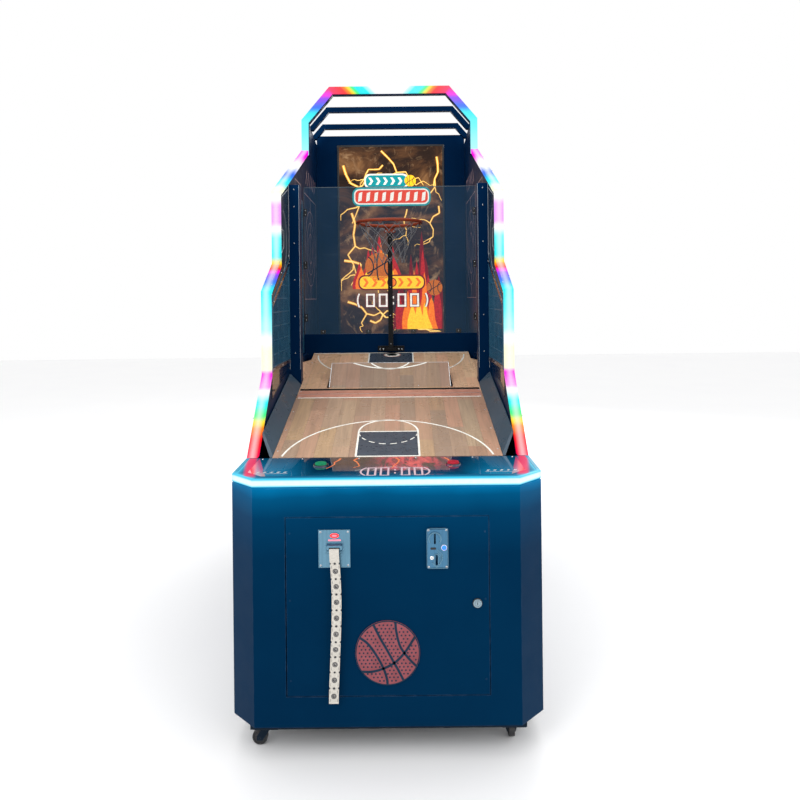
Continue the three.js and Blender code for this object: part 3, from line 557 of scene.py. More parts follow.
def console_light_look():
    """The console's strip: a wide white core with cyan edges, fading along the cabinet's sides."""
    look = Look("console_strip", 0.4, Specular_IOR_Level=0.1)
    y, z = look.axes("YZ")
    middle, half = (CONSOLE_LOW + CONSOLE_HIGH) / 2, (CONSOLE_HIGH - CONSOLE_LOW) / 2
    core = abs(z - middle).range(half * 0.45, half, 1.0, 0.0)
    mottle = core * look.noise(90, 2).range(0.3, 0.7, 0.9, 1.0)
    colour = look.mix(mottle, (0.02, 0.55, 0.80), (0.78, 1.0, 1.0))
    shine(look, look.mix(y.range(FRONT + 0.070, FRONT + 0.120), colour, (0.0, 0.26, 0.42)), 1.12)
    return look.material


PLANK_WIDE = 0.062
PLANK_LONG = 0.46
# Whole metres that keep the planks' counts above zero.
PLANK_START = (2.0, 4.0)
WOOD_TONES = [(0.0, (0.56, 0.36, 0.19)), (0.2, (0.44, 0.24, 0.15)), (0.4, (0.66, 0.42, 0.26)),
              (0.6, (0.34, 0.23, 0.16)), (0.8, (0.60, 0.30, 0.19)), (1.0, (0.50, 0.38, 0.24))]


def court_look(name, tint, level=1.0, specular=0.5, coat=0.3):
    """Printed planks running up the court, in tans, pinks and greys, with grain, knots and seams."""
    look = Look(name, 0.28, Specular_IOR_Level=specular, Coat_Weight=coat, Coat_Roughness=0.08)
    x, y = look.axes("XY")
    across = (x + PLANK_START[0]) / PLANK_WIDE
    column = across.math("FLOOR")
    stagger = (column * 0.377).math("FRACT") * PLANK_LONG
    row = ((y + PLANK_START[1] + stagger) / PLANK_LONG).math("FLOOR")
    cell = look.node("CombineXYZ", {"X": column, "Y": row})
    figure = look.noise(1.0, 6, 0.62, look.scaled(75, 4.5, 6), 0.6).range(0.32, 0.70)
    streaks = look.noise(1.0, 3, 0.5, look.scaled(220, 7, 7)).range(0.60, 0.72)
    seam = abs(across.math("FRACT") - 0.5).range(0.482, 0.497)
    wood = look.node("TexWhiteNoise", {"Vector": cell}, noise_dimensions="3D").ramp(WOOD_TONES)
    for amount, colour in ((figure * 0.55, (0.20, 0.12, 0.075)), (streaks * 0.35, (0.13, 0.075, 0.05)),
                           (seam * 0.6, (0.10, 0.06, 0.04))):
        wood = look.mix(amount, wood, colour)
    look.set(Base_Color=look.mix(1.0, look.mix(0.20, wood, tint), (level, level, level), "MULTIPLY"),
             Roughness=look.noise(7, 4, 0.6).range(0.3, 0.7, 0.2, 0.38))
    return look.bumped(figure * 0.3 - seam, 0.12, 0.3 * MM, 1 * MM)


def smoky_look():
    """The picture behind the screen's graphics: dark bronze smoke with pale wisps, self-lit."""
    look = Look("screen_smoke", 0.2, Specular_IOR_Level=0.12)
    wisps = look.noise(7.5, 7, 0.7, look.scaled(1, 1, 0.8, (0, 0.6, 0)), 2.2)
    smoke = look.noise(2.6, 6, 0.62, look.scaled(1, 1, 1.4), 1.2).ramp([
        (0.32, (0.010, 0.005, 0.004)), (0.46, (0.036, 0.015, 0.008)), (0.57, (0.14, 0.058, 0.022)),
        (0.70, (0.40, 0.19, 0.07))])
    colour = look.mix(wisps.range(0.54, 0.74) * 0.65, smoke, (0.66, 0.40, 0.20))
    look.set(Base_Color=look.mix(0.85, colour, (0.004, 0.004, 0.004)), Emission_Color=colour,
             Emission_Strength=0.85)
    return look.bumped(wisps, 0.01, 0.1 * MM)


def acrylic_look():
    """Clear acrylic: see-through with no specular of its own; a blue-grey emitted glow is its painted
    reflection, and faint wipe marks show as brighter painted sheen in it.
    """
    look = Look("acrylic", 0.03, Specular_IOR_Level=0.0, Alpha=0.13, IOR=1.49, Base_Color=(*BLACK, 1))
    wipes = look.noise(1.0, 3, 0.5, look.scaled(5, 5, 30))
    # Painted reflection: an emitted blue-grey tone in place of the sheet's gloss, which has no specular.
    painted_sheen = look.mix(look.noise(2.5, 2).range(0.35, 0.65), (0.031, 0.084, 0.146), (0.059, 0.115, 0.183))
    look.set(Emission_Color=look.mix(wipes.range(0.60, 0.75, 0.0, 0.3), painted_sheen, (0.14, 0.22, 0.28)),
             Emission_Strength=1.0)
    return look.bumped(wipes, 0.02, 0.1 * MM)


def cord_look(name, colour):
    """Braided cord: a helical strand bump, with the colour darker where the bump is low: painted shade in the
    grooves between strands.
    """
    look = Look(name, 0.85, Sheen_Weight=0.3)
    inputs = {"Vector": look.scaled(1, 1, 1, (0.5, 0.4, 0)), "Scale": 210.0, "Distortion": 2.5, "Detail": 2.0}
    wave = look.node("TexWave", inputs, "Fac")
    look.set(Base_Color=look.mix(wave, toned(colour, 0.55), colour))
    return look.bumped(wave, 0.6, 0.8 * MM)


def card_look():
    """Ticket card: warm off-white stock with printed fibres and faint soiling."""
    look = Look("ticket_card", 0.75)
    fibres = look.noise(260, 4, 0.6)
    look.set(Base_Color=look.mix(fibres.range(0.35, 0.7), (0.50, 0.47, 0.42), (0.62, 0.59, 0.53)))
    return look.bumped(fibres, 0.15, 0.2 * MM)


def print_look():
    """A printed side panel: dark slate with a faint woven texture and a satin film."""
    look = Look("side_print", 0.35, Specular_IOR_Level=0.3)
    clouds = look.noise(4, 5, 0.6)
    weave = look.node("TexWave", {"Vector": look.object, "Scale": 300.0, "Distortion": 1.0}, "Fac",
                      bands_direction="DIAGONAL")
    dark = look.mix(clouds.range(0.3, 0.7), (0.012, 0.022, 0.038), (0.030, 0.048, 0.066))
    look.set(Base_Color=look.mix(weave * 0.25, dark, (0.06, 0.08, 0.10)),
             Roughness=clouds.range(0.3, 0.7, 0.2, 0.35))
    return look.bumped(weave, 0.05, 0.2 * MM, 0.8 * MM)


def board_look():
    """A circuit board: green mask with tracks."""
    look = Look("circuit_board", 0.4)
    inputs = {"Vector": look.object, "Scale": 40.0, "Mortar Size": 0.05}
    cells = look.node("TexBrick", inputs, "Fac", offset=0.3)
    mask = look.mix(look.noise(60, 3), (0.010, 0.09, 0.04), (0.02, 0.14, 0.07))
    look.set(Base_Color=look.mix(cells, mask, (0.12, 0.28, 0.10)))
    return look.bumped(cells, 0.3, 0.3 * MM)


SEA, NAVY = (0.08, 0.55, 1.0), (0.10, 0.45, 1.0)
CASING = painted("casing_paint", (0.0001, 0.0165, 0.050), (0.0002, 0.0200, 0.058), 0.4, shine=0.05, tint=SEA,
                 glow=console_glow)
TOWER = painted("tower_paint", (0.0004, 0.0135, 0.053), (0.0008, 0.0170, 0.063), 0.36, shine=0.10, tint=NAVY)
SKIRT = painted("skirt_paint", (0.045, 0.075, 0.105), (0.056, 0.088, 0.120), 0.3, shine=0.35)
BASE = painted("base_powder", (0.0020, 0.0095, 0.020), (0.0030, 0.012, 0.026), 0.5)
BLACK_PAINT = painted("black_paint", (0.006, 0.006, 0.007), (0.012, 0.011, 0.011), 0.3)
DECK_GLOSS = glossy("deck_gloss", (0.001, 0.004, 0.010), 0.03, deck_glow, 1.7)
DECK_BORDER = painted("deck_border", (0.0002, 0.020, 0.050), (0.0004, 0.026, 0.060), 0.5, shine=0.05,
                      tint=SEA, glow=border_glow)
GLOSS = glossy("gloss_black", (0.004, 0.006, 0.009))
LINING = glossy("lining_gloss", (0.016, 0.017, 0.026), 0.14)
STEEL = brushed("brushed_plate", (0.155, 0.315, 0.43), 0.34)
COIN_STEEL = brushed("coin_plate", (0.085, 0.225, 0.37), 0.36)
ZINC = brushed("zinc_plate", (0.62, 0.63, 0.64), 0.32, (90, 90, 90))
CHROME = brushed("chrome", (0.86, 0.88, 0.90), 0.1, (40, 40, 40))
LOCK_METAL = brushed("lock_metal", (0.30, 0.40, 0.46), 0.24, (40, 40, 40))
SCREW = brushed("screw_steel", (0.72, 0.74, 0.78), 0.22, (200, 200, 200))
# Near-black for screw recesses, a slot, keyways and vents: painted shade where nothing is cut.
RECESS_SHADE = moulded("recess_painted_shade", (0.01, 0.01, 0.012), 0.6)
SCREW_LOOKS = [SCREW, RECESS_SHADE]
RIM_PAINT = painted("rim_paint", (0.20, 0.032, 0.014), (0.26, 0.048, 0.02), 0.3, 0.5 * MM)
BLACK_PLASTIC = moulded("black_plastic", (0.014, 0.015, 0.017), 0.42)
NYLON = moulded("wheel_nylon", (0.016, 0.016, 0.018), 0.4)
MESH_PAINT = painted("mesh_paint", (0.020, 0.090, 0.160), (0.035, 0.115, 0.190), 0.3, 0.4 * MM, 0.4, tint=SEA)
RAIL_METAL = brushed("rail_metal", (0.34, 0.27, 0.26), 0.25, (8, 8, 300))
COURT_FRONT = court_look("court_wood", (0.48, 0.36, 0.27))
COURT_REAR = court_look("rear_court_wood", (0.72, 0.52, 0.30), 1.45)
# The flap's wood is scaled down to 0.64 in brightness: painted shade of the raised flap.
GATE_WOOD = court_look("gate_wood", (0.62, 0.42, 0.27), 0.64, 0.2, 0.0)
LINE = moulded("court_line", (0.78, 0.75, 0.68), 0.32, 500)
SLATE = moulded("court_key", (0.036, 0.048, 0.066), 0.3, 500)
ROSE = moulded("court_rose", (0.45, 0.20, 0.14), 0.32, 500)
PRINT = print_look()
PRINT_LINE = moulded("panel_line", (0.42, 0.44, 0.46), 0.35, 500)
PRINT_PINK = moulded("panel_line_warm", (0.45, 0.30, 0.30), 0.35, 500)
ACRYLIC = acrylic_look()
NET_CORD = cord_look("net_cord", (0.15, 0.15, 0.165))
CARD = card_look()
INK = moulded("ticket_ink", (0.018, 0.018, 0.022), 0.6)
PALE_INK = moulded("ticket_pale_ink", (0.22, 0.21, 0.20), 0.6)
GRILLE = moulded("grille_print", (0.215, 0.058, 0.068), 0.6, Specular_IOR_Level=0.12)
# Dark navy for the ball's printed seams, and for the grille's holes, where it is painted shade over the black
# driver behind.
GRILLE_SEAM_AND_HOLE_SHADE = moulded("grille_seam_and_hole_shade", (0.003, 0.018, 0.040), 0.5, Specular_IOR_Level=0.15)
BOARD = board_look()
SMOKE = smoky_look()
# Self-lit marks for the screen's counter and lightning on the deck: a painted reflection, not a print the
# deck has.
REFLECTED_DIGITS = lit("deck_painted_reflection_digits", (0.80, 0.62, 0.66), 0.8, (0.60, 0.42, 0.50))
REFLECTED_FLASH = lit("deck_painted_reflection_flash", (1.0, 0.36, 0.10), 0.75, (0.80, 0.12, 0.08))
GREEN_LIT = lit("green_lens", (0.01, 0.34, 0.15), 0.75, (0.0, 0.16, 0.07))
RED_LIT = lit("red_lens", (0.62, 0.02, 0.05), 0.8, (0.28, 0.01, 0.02))
BLUE_LIT = lit("blue_lens", (0.03, 0.16, 1.0), 2.6)
RED_GLOW = lit("red_glow", (1.0, 0.03, 0.03), 3.0)
PINK_GLOW = lit("pink_glow", (1.0, 0.30, 0.40), 1.2)
STRIP = light_strip_look("side_strip", SIDE_COLOURS, 0.86, 2.28)
HEADER = light_strip_look("header_strip", HEADER_COLOURS, 2.26, 2.99, header=True)
CONSOLE = console_light_look()

# ---- looks of the CAD nodes

CASTERS = ("front_left", "front_right", "rear_left", "rear_right")
# Each look and its nodes. A star stands for right and left, a hash for each caster.
NODE_LOOKS = {
    CASING: "front_cabinet rear_cabinet service_door rear_cover",
    TOWER: "header_arch middle_roof_arch rear_roof_arch back_panel backboard_frame *_front_wall *_rear_wall",
    BLACK_PLASTIC: "screen door_lock power_inlet speaker_driver gate_motor",
    BASE: "base_frame #_caster_fork", SKIRT: "*_skirt", BLACK_PAINT: "hoop_post",
    DECK_GLOSS: "console_deck", LINING: "*_lower_lining",
    CONSOLE: "console_light", HEADER: "header_light", STRIP: "*_light_strip",
    COURT_FRONT: "front_court", COURT_REAR: "rear_court", GATE_WOOD: "gate_flap",
    PRINT: "*_print_panel", MESH_PAINT: "*_front_mesh *_rear_mesh", ACRYLIC: "backboard",
    COIN_STEEL: "coin_acceptor", STEEL: "ticket_dispenser", ZINC: "coin_box power_supply",
    BOARD: "control_board", RED_LIT: "power_switch",
}


def dress_nodes():
    for look, names in NODE_LOOKS.items():
        for name in names.split():
            mark, places = ("*", SIDES) if "*" in name else ("#", CASTERS)
            for node in sorted({name.replace(mark, place) for place in places}):
                dress(NODES[node], look)


def dress(thing, look):
    if not thing.material_slots:
        thing.data.materials.append(look)
    for slot in thing.material_slots:
        slot.material = look


# ---- court markings

# A print starts this far under its surface.
LOW = -0.5
LINE_WIDTH = 7
LINE_HIGH = 0.5
FILL_HIGH = 0.3
KEY_HALF = 114
# Each key's ends along the court: baseline and free throw line, near and far.
KEYS = ((8, 225), (971, 1258))
HALF_LINE = 598
JOINT = 645.5
FLAP_HALF = 277
HOLE_HALF = 290
BAND_HALF = 405
LINE_HALF = 402
THREE_POINT_RADIUS = 382
PLANES = {"court": COURT, "flap": FLAP}


def court_surface(x, s):
    """Which surface a place on the court is printed on, with its coordinates there."""
    flap_end = FLAP_FROM + FLAP_LENGTH
    if FLAP_FROM + 4 < s < flap_end - 1 and abs(x) < FLAP_HALF:
        return "flap", (x, s - FLAP_FROM)
    in_hole = FLAP_FROM - 8 < s < flap_end + 8 and abs(x) < HOLE_HALF
    if in_hole or JOINT - 3 < s < JOINT + 3:
        return None, None
    return "court", (x, s)


def court_line(shapes, path, width=LINE_WIDTH):
    """Draws a line on the court, broken where one surface ends and the next begins."""
    for surface, run in groupby([court_surface(x, s) for x, s in path], lambda found: found[0]):
        points = [place for _, place in run]
        if surface and len(points) > 1:
            shapes[surface].band(PLANES[surface], points, width, LOW, LINE_HIGH)


def densely(start, end, step=4):
    """Points along a straight line, about a step apart."""
    count = max(1, round(math.dist(start, end) / step))
    return [(start[0] + (end[0] - start[0]) * i / count, start[1] + (end[1] - start[1]) * i / count)
            for i in range(count + 1)]


def court_markings():
    shapes = {"court": Shape(), "flap": Shape()}
    court = shapes["court"]
    fills = [(KEY_HALF, *key, 1) for key in KEYS]
    bands = ((HALF_LINE + 6, JOINT - 3, 2), (JOINT + 3, 687, 2), (690, 712, 3))
    fills += [(BAND_HALF, *band) for band in bands]
    for half, start, end, paint in fills:
        court.slab(COURT, rectangle(-half, half, start, end), LOW, FILL_HIGH, paint)
    for low, high in KEYS:
        corners = rectangle(-KEY_HALF, KEY_HALF, low, high)
        for start, end in zip(corners, corners[1:] + corners[:1]):
            court_line(shapes, densely(start, end))
    for throw, solid, dashed in ((KEYS[0][1], 0, 180), (KEYS[1][0], 180, 0)):
        court_line(shapes, arc((0, throw), KEY_HALF, solid, solid + 180, 90))
        for first in (dashed + 8 + dash * 21.5 for dash in range(8)):
            court_line(shapes, arc((0, throw), KEY_HALF, first, first + 13, 8), 5)
    court_line(shapes, arc((0, -46), THREE_POINT_RADIUS, 9, 171, 160))
    court_line(shapes, arc((0, 1242), THREE_POINT_RADIUS, 183, 357, 180))
    for s, width in ((HALF_LINE, LINE_WIDTH), (KEYS[1][1], 6)):
        court_line(shapes, densely((-LINE_HALF, s), (LINE_HALF, s)), width)
    for radii, high, paint in (((45, 34), 0.7, 2), ((40, 29), 0.9, 0), ((27, 18), 1.1, 3)):
        court.slab(COURT, circle((6, 1219), radii, 47), LOW, high, paint)
    looks = [LINE, SLATE, ROSE, BLACK_PAINT]
    court.piece("court_markings", looks, slot="court")
    shapes["flap"].piece("gate_markings", looks, "gate", slot="court")


def court_trim():
    """Countersunk screws and steel edge strips, on the court and on the flap."""
    trim = Shape()
    trim.screws(COURT, grid((-400, 400), (60, 250, 440, 620, 680, 1100, 1240)), 3.2, -0.6)
    trim.band(COURT, [(-408, JOINT - 1), (408, JOINT - 1)], 3, -4, 0.4, 2)
    trim.piece("court_screws", [*SCREW_LOOKS, ZINC], smooth=35)
    gate = Shape()
    gate.screws(FLAP, grid((-262, -130, 0, 130, 262), (10,)), 2.6, -0.6)
    for x in (-277, 277):
        gate.band(FLAP, [(x, 4), (x, 173)], 2.4, -8.3, 0.3, 2)
    gate.band(FLAP, [(-278, 174.5), (278, 174.5)], 1.6, -8.2, 0.3, 2)
    gate.piece("gate_trim", [*SCREW_LOOKS, ZINC], "gate", smooth=35)


# ---- screen picture

SCREEN_ART = 0.5
LAYER = 0.35
ART = {name: lit(f"art_{name}", *light) for name, light in {
    "gold": ((1.0, 0.42, 0.03), 1.25, (0.80, 0.24, 0.01)),
    "gold_core": ((1.0, 0.80, 0.25), 1.5),
    "crimson": ((0.75, 0.02, 0.015), 1.0, (0.38, 0.01, 0.01)),
    "dark_red": ((0.28, 0.008, 0.008), 0.8),
    "flame": ((1.0, 0.26, 0.01), 1.3, (0.9, 0.12, 0.0)),
    "yellow": ((1.0, 0.68, 0.03), 1.4, (1.0, 0.45, 0.01)),
    "ball": ((0.88, 0.24, 0.02), 0.9, (0.60, 0.12, 0.01)),
    "teal": ((0.01, 0.42, 0.44), 1.0, (0.0, 0.26, 0.30)),
    "cream": ((1.0, 0.95, 0.86), 1.25),
    "scarlet": ((0.95, 0.07, 0.02), 1.1),
}.items()}
ART["ink"] = moulded("art_ink", (0.010, 0.006, 0.006), 0.3)


def clamp(value, low, high):
    return max(low, min(high, value))


def draw(shape, outline, layer, paint):
    """A flat patch in front of the screen. Higher layers stand further out."""
    shape.slab(SCREEN, outline, 0, SCREEN_ART + layer * LAYER, paint)


def picture(shape, name, looks):
    shape.piece(name, [ART[look] for look in looks.split()], slot="screen")


def flames(shape, rng, x, z, width, height, count, layer, paint):
    """A row of curling flame tongues on one base, tallest in the middle."""
    for i in range(count):
        across = (i + 0.5) / count - 0.5
        root = x + across * width
        tall = height * (1 - 2.6 * across * across) * rng.uniform(0.78, 1.05)
        half = 0.75 * width / count
        lean = rng.uniform(-0.5, 0.5) * width / 5
        tongue = [(root + lean * 0.7, z + tall)]
        for t in (k / 7 for k in range(6, -1, -1)):
            middle = root + lean * math.sin(2.6 * t) * t
            wide = half * (1 - t) ** 0.7 * (1 + 0.25 * math.sin(5 * t + i))
            tongue = [(middle + wide, z + tall * t), *tongue, (middle - wide, z + tall * t)]
        draw(shape, [(clamp(a, -318, 320), b) for a, b in tongue], layer + 0.3 * (i % 3), paint)


def bolt(shape, rng, start, heading, length, width, forked=True):
    """A lightning bolt in short tapering kinks, a bright core on a wider glow."""
    steps = 7
    path = [start]
    for i in range(steps):
        way = heading + rng.uniform(-0.85, 0.85)
        x = path[-1][0] + math.cos(way) * length / steps
        y = path[-1][1] + math.sin(way) * length / steps
        path.append((clamp(x, -318, 318), clamp(y, 1228, 2390)))
        if forked and i in (2, 4):
            bolt(shape, rng, path[-1], way + rng.choice((-1.0, 1.0)), length * 0.45, width * 0.6, False)
    for k in range(steps):
        taper = width * (1.0 - 0.75 * k / steps)
        shape.band(SCREEN, path[k:k + 2], taper * 2.0, SCREEN_ART - LAYER, SCREEN_ART + LAYER, 0)
        shape.band(SCREEN, path[k:k + 2], taper * 0.9, SCREEN_ART, SCREEN_ART + 2 * LAYER, 1)


def art_ball(shape, centre, r, layer, skin):
    """A basketball drawn flat, with its seams in the next paint."""
    cx, cy = centre
    draw(shape, circle(centre, r, 40), layer, skin)
    seams = [[(cx - r * 0.85, cy - r * 0.5), centre, (cx + r * 0.85, cy + r * 0.5)],
             arc(centre, (r * 0.15, r * 0.95), 90, 270, 12)]
    seams += [arc((cx + side * r, cy), (r * 0.6, r * 0.75), turn - 68, turn + 68, 12)
              for side, turn in ((-1, 0), (1, 180))]
    for seam in seams:
        shape.band(SCREEN, seam, r * 0.09, 0, SCREEN_ART + (layer + 1) * LAYER, skin + 1)


def chevron(x, z, half, back, neck, tip, notch):
    """An arrow head pointing along x."""
    return [(x - back, z - half), (x + neck, z - half), (x + tip, z), (x + neck, z + half),
            (x - back, z + half), (x + notch, z)]


def zero(shape, plane, x, y, width, height, bar, low, high, paint=0):
    """A seven-segment zero: its six outer bars."""
    half = bar * 0.45
    bars = [(a, a, b, b + height / 2) for a in (x, x + width) for b in (y, y + height / 2)]
    bars += [(x, x + width, b, b) for b in (y, y + height)]
    for x0, x1, y0, y1 in bars:
        shape.slab(plane, rectangle(x0 - half, x1 + half, y0 - half, y1 + half), low, high, paint)


def brackets(shape, plane, centre, out, radius, spread, width, low, high, paint=0):
    """A curved bracket on each side of a counter."""
    for side, turn in ((-1, 180), (1, 0)):
        path = arc((centre[0] + side * out, centre[1]), radius, turn - spread, turn + spread, 12)
        shape.band(plane, path, width, low, high, paint)


def screen_picture():
    back = Shape()
    back.slab(SCREEN, rectangle(-325.5, 325.5, 1221.5, 2396.5), LOW, 0.3)
    back.piece("screen_background", [SMOKE], slot="screen")
    rng = random.Random(11)
    bolts = Shape()
    for start, heading, length, width in (
            ((-300, 2280), -1.2, 420, 9), ((-250, 1980), -1.9, 500, 8), ((-300, 1680), -0.9, 380, 9),
            ((-280, 1420), -0.4, 340, 8), ((-60, 2370), -0.5, 400, 7), ((290, 2330), -2.2, 340, 8),
            ((300, 2020), -1.9, 320, 6), ((50, 1360), -0.3, 300, 8), ((-140, 1300), 0.3, 260, 7),
            ((-50, 2280), -2.6, 240, 6), ((100, 2000), -1.4, 240, 5)):
        bolt(bolts, rng, start, heading, length, width)
    picture(bolts, "screen_lightning", "gold gold_core")
    burst = Shape()
    for flame in ((170, 1245, 300, 620, 5, 2, 1), (172, 1245, 270, 520, 6, 3, 0),
                  (175, 1245, 200, 370, 4, 4, 2), (172, 1245, 130, 230, 3, 5, 3),
                  (-85, 1500, 300, 330, 6, 6, 0), (-85, 1500, 260, 280, 5, 7, 2),
                  (-80, 1500, 200, 220, 4, 8, 3)):
        flames(burst, rng, *flame)
    art_ball(burst, (-80, 1640), 88, 10, 4)
    art_ball(burst, (268, 1505), 50, 10, 4)
    picture(burst, "screen_burst", "crimson dark_red flame yellow ball ink scarlet cream")


def screen_title():
    """Two rounded bands with slanting marks on them, and a ball."""
    title = Shape()
    for *extent, radius, layer, paint in (
            (-168, 110, 2132, 2226, 36, 2, 1), (-158, 100, 2142, 2216, 30, 3, 0),
            (-243, 250, 2022, 2140, 42, 5, 0), (-233, 240, 2032, 2130, 34, 6, 1),
            (-225, 232, 2040, 2122, 28, 7, 2)):
        draw(title, rounded(*extent, radius), layer, paint)
    for x in range(-128, 57, 46):
        draw(title, chevron(x, 2179, 23, 14, 2, 17, 1), 4, 1)
    for x in range(-196, 205, 50):
        draw(title, [(x - 12, 2050), (x + 10, 2058), (x + 16, 2112), (x - 6, 2104)], 8, 1)
    art_ball(title, (122, 2180), 36, 8, 3)
    picture(title, "screen_title_bands", "teal cream scarlet yellow ink")


def screen_prompt():
    """A band of arrow heads round a button, above a counter of four zeros."""
    prompt = Shape()
    draw(prompt, rounded(-212, 210, 1492, 1588, 40), 9, 2)
    draw(prompt, rounded(-203, 201, 1501, 1579, 33), 10, 0)
    for x in range(-165, 166, 55):
        draw(prompt, chevron(x, 1540, 27, 18, 0, 20, 2), 11, 1)
    draw(prompt, circle((0, 1540), 30, 32), 12, 2)
    draw(prompt, circle((0, 1540), 24, 32), 13, 1)
    for y in (1408, 1446):
        draw(prompt, around((4, y), 8, 7), 10, 3)
    for bar, line, layer, paint in ((22, 18, 9, 2), (13, 10, 10, 3)):
        high = SCREEN_ART + layer * LAYER
        for x in (-158, -78, 40, 120):
            zero(prompt, SCREEN, x, 1392, 44, 72, bar, 0, high, paint)
        brackets(prompt, SCREEN, (3, 1428), 135, 85, 30, line, 0, high, paint)
    picture(prompt, "screen_prompt", "yellow flame dark_red cream")


# ---- service door

STRIP_X = -162
REJECT_AT = (179, 664)


def coin_plate():
    (x0, _, z0), (x1, _, z1) = box("coin_acceptor")
    plate = FACE.raised(8)
    shape = Shape()
    shape.screws(plate, grid((x0 + 6, x1 - 6), (z0 + 6, z1 - 6)), 3.6)
    hood_x = x0 + 25.7
    slot_x = (x0 + x1) / 2 - 3
    shape.band(plate, arc((hood_x, z1 - 32), 19, -40, 220, 30), 3, LOW, 4, 2)
    for tip in (z0 + 60, z0 + 53, z0 + 46):
        hook = [(hood_x + 6, tip), (hood_x + 24, tip - 17), (hood_x + 16, tip - 26)]
        shape.band(plate, hook, 1.8, LOW, 1.4, 2)
    shape.band(plate, [(slot_x - 14, z0 + 20), (slot_x, z0 + 5), (slot_x + 14, z0 + 20)], 2.4, LOW, 2.4, 2)
    for outline, width, high in ((rounded(x0 + 1.2, x1 - 1.2, z0 + 1.2, z1 - 1.2, 4), 1.4, 0.7),
                                 (rounded(slot_x - 6, slot_x + 6, z0 + 9, z0 + 46, 4), 1.8, 2.0)):
        shape.band(plate, outline, width, LOW, high, 2, closed=True)
    # A near-black slot and keyway in the recess material: painted shade where nothing is cut.
    shape.slab(plate, rounded(x0 + 12, x0 + 29, z0 + 60, z0 + 66, 2), LOW, 1.2, 1)
    lock = (x0 + 16, z0 + 34)
    shape.turned(plate, lock, [(6.2, LOW), (6.2, 1.4), (5.2, 2.2), (0, 2.3)], 28, 3)
    shape.slab(plate, around(lock, 0.7, 2.8), 2.0, 2.5, 1)
    shape.piece("coin_plate_details", [*SCREW_LOOKS, STEEL, CHROME], "door", slot="plate_steel", smooth=35)


def reject_button():
    bezel = Shape()
    profile = [(7.3, LOW), (9.6, LOW), (9.6, 2.2), (8.8, 3), (7.6, 3), (7.3, 2.4)]
    bezel.turned(FACE.raised(8), REJECT_AT, profile, 36, closed=True)
    bezel.piece("coin_reject_bezel", [CHROME], "door", slot="chrome", smooth=35)
    lens = Shape()
    lens.turned(FACE, REJECT_AT, [(5.4, -6), (6.5, -4), (6.5, 10.5), (5.8, 11.4), (4, 11.9), (0, 12.1)], 36)
    lens.piece("reject_lens", [BLUE_LIT], "reject_button", slot="blue_cap", smooth=50,
               replaces=["coin_reject_button"])


def ticket_plate():
    (x0, _, z0), (x1, _, z1) = box("ticket_dispenser")
    plate = FACE.raised(3)
    lamp_at = (STRIP_X, z1 - 18)
    shape = Shape()
    shape.screws(plate, grid((x0 + 7, x1 - 7), (z0 + 7, z1 - 7)), 3.6)
    for outline, width, high in ((rounded(x0 + 1, x1 - 1, z0 + 1, z1 - 1, 5), 1.2, 0.5),
                                 (rounded(STRIP_X - 27, STRIP_X + 27, z0 + 44, z0 + 82, 4), 2, 1),
                                 (circle(lamp_at, (15, 8.5), 40), 2, 2)):
        shape.band(plate, outline, width, LOW, high, 2, closed=True)
    shape.piece("ticket_plate_details", [*SCREW_LOOKS, STEEL], "door", slot="plate_steel", smooth=35)
    lamp = Shape()
    lamp.slab(plate, circle(lamp_at, (13.6, 7.2), 40), LOW, 2.2)
    lamp.slab(plate, circle(lamp_at, (8, 3.2), 40), 0, 2.8, 1)
    lamp.slab(plate, rounded(STRIP_X - 20, STRIP_X + 20, z1 - 36, z1 - 30, 2.6), LOW, 0.7, 1)
    lamp.piece("ticket_plate_lamp", [RED_GLOW, PINK_GLOW], "door", slot="red_cap")


TICKETS = 10
TICKET_HALF = 15
STRIP_ROWS = 120
# How far behind the cabinet's front, and how high, the strip's middle is.
STRIP_MIDDLE = [(-17, 666.8), (-21, 666), (-25, 662), (-26.3, 650), (-23.5, 600), (-20.5, 545), (-20.5, 480),
                (-23.8, 420), (-23.5, 370), (-18.5, 310), (-17.5, 270), (-20.5, 225), (-19, 188)]


def walk(path, distance):
    """The point and direction a distance along a path."""
    for start, end in zip(path, path[1:]):
        step = (end - start).length
        if distance <= step:
            return start.lerp(end, distance / step), (end - start).normalized()
        distance -= step
    return path[-1], (path[-1] - path[-2]).normalized()


def ticket_strip():
    """A strip of tickets folded at each end, notched at the folds, with a ring printed on each."""
    path = smooth_path([(0, FACE_Y + y, z) for y, z in STRIP_MIDDLE])
    total = sum((b - a).length for a, b in zip(path, path[1:]))

    def spot(distance):
        place, way = walk(path, distance)
        sway = 6 * math.sin(4.4 * distance / total) * min(1.0, distance / 60)
        return place + X * (STRIP_X + sway), way

    strip = strip_card(spot, total)
    ink = strip_print(spot, total / TICKETS)


def strip_card(spot, total):
    pitch = total / TICKETS
    verts = []
    for i in range(STRIP_ROWS + 1):
        distance = total * i / STRIP_ROWS
        place, way = spot(distance)
        inner = 0 < i < STRIP_ROWS
        from_fold = abs((distance + pitch / 2) % pitch - pitch / 2)
        half = TICKET_HALF - (2.2 if inner and from_fold < 3 else 0)
        crease = 0.9 * inner * max(0.0, 1 - from_fold / 7) * (1 if int(distance / pitch + 0.5) % 2 else -1)
        for across in (k / 3 for k in range(-3, 4)):
            bow = 0.5 * (1 - across ** 2)
            verts.append(place + Vector((half * across, -crease * way.z - bow, crease * way.y)))
    faces = [(i, i + 1, i + 8, i + 7) for i in (row * 7 + k for row, k in grid(range(STRIP_ROWS), range(6)))]
    return Shape().add(verts, faces).piece("ticket_strip_card", [CARD], "door", slot="ticket", smooth=60,
                                           replaces=["ticket_strip"])


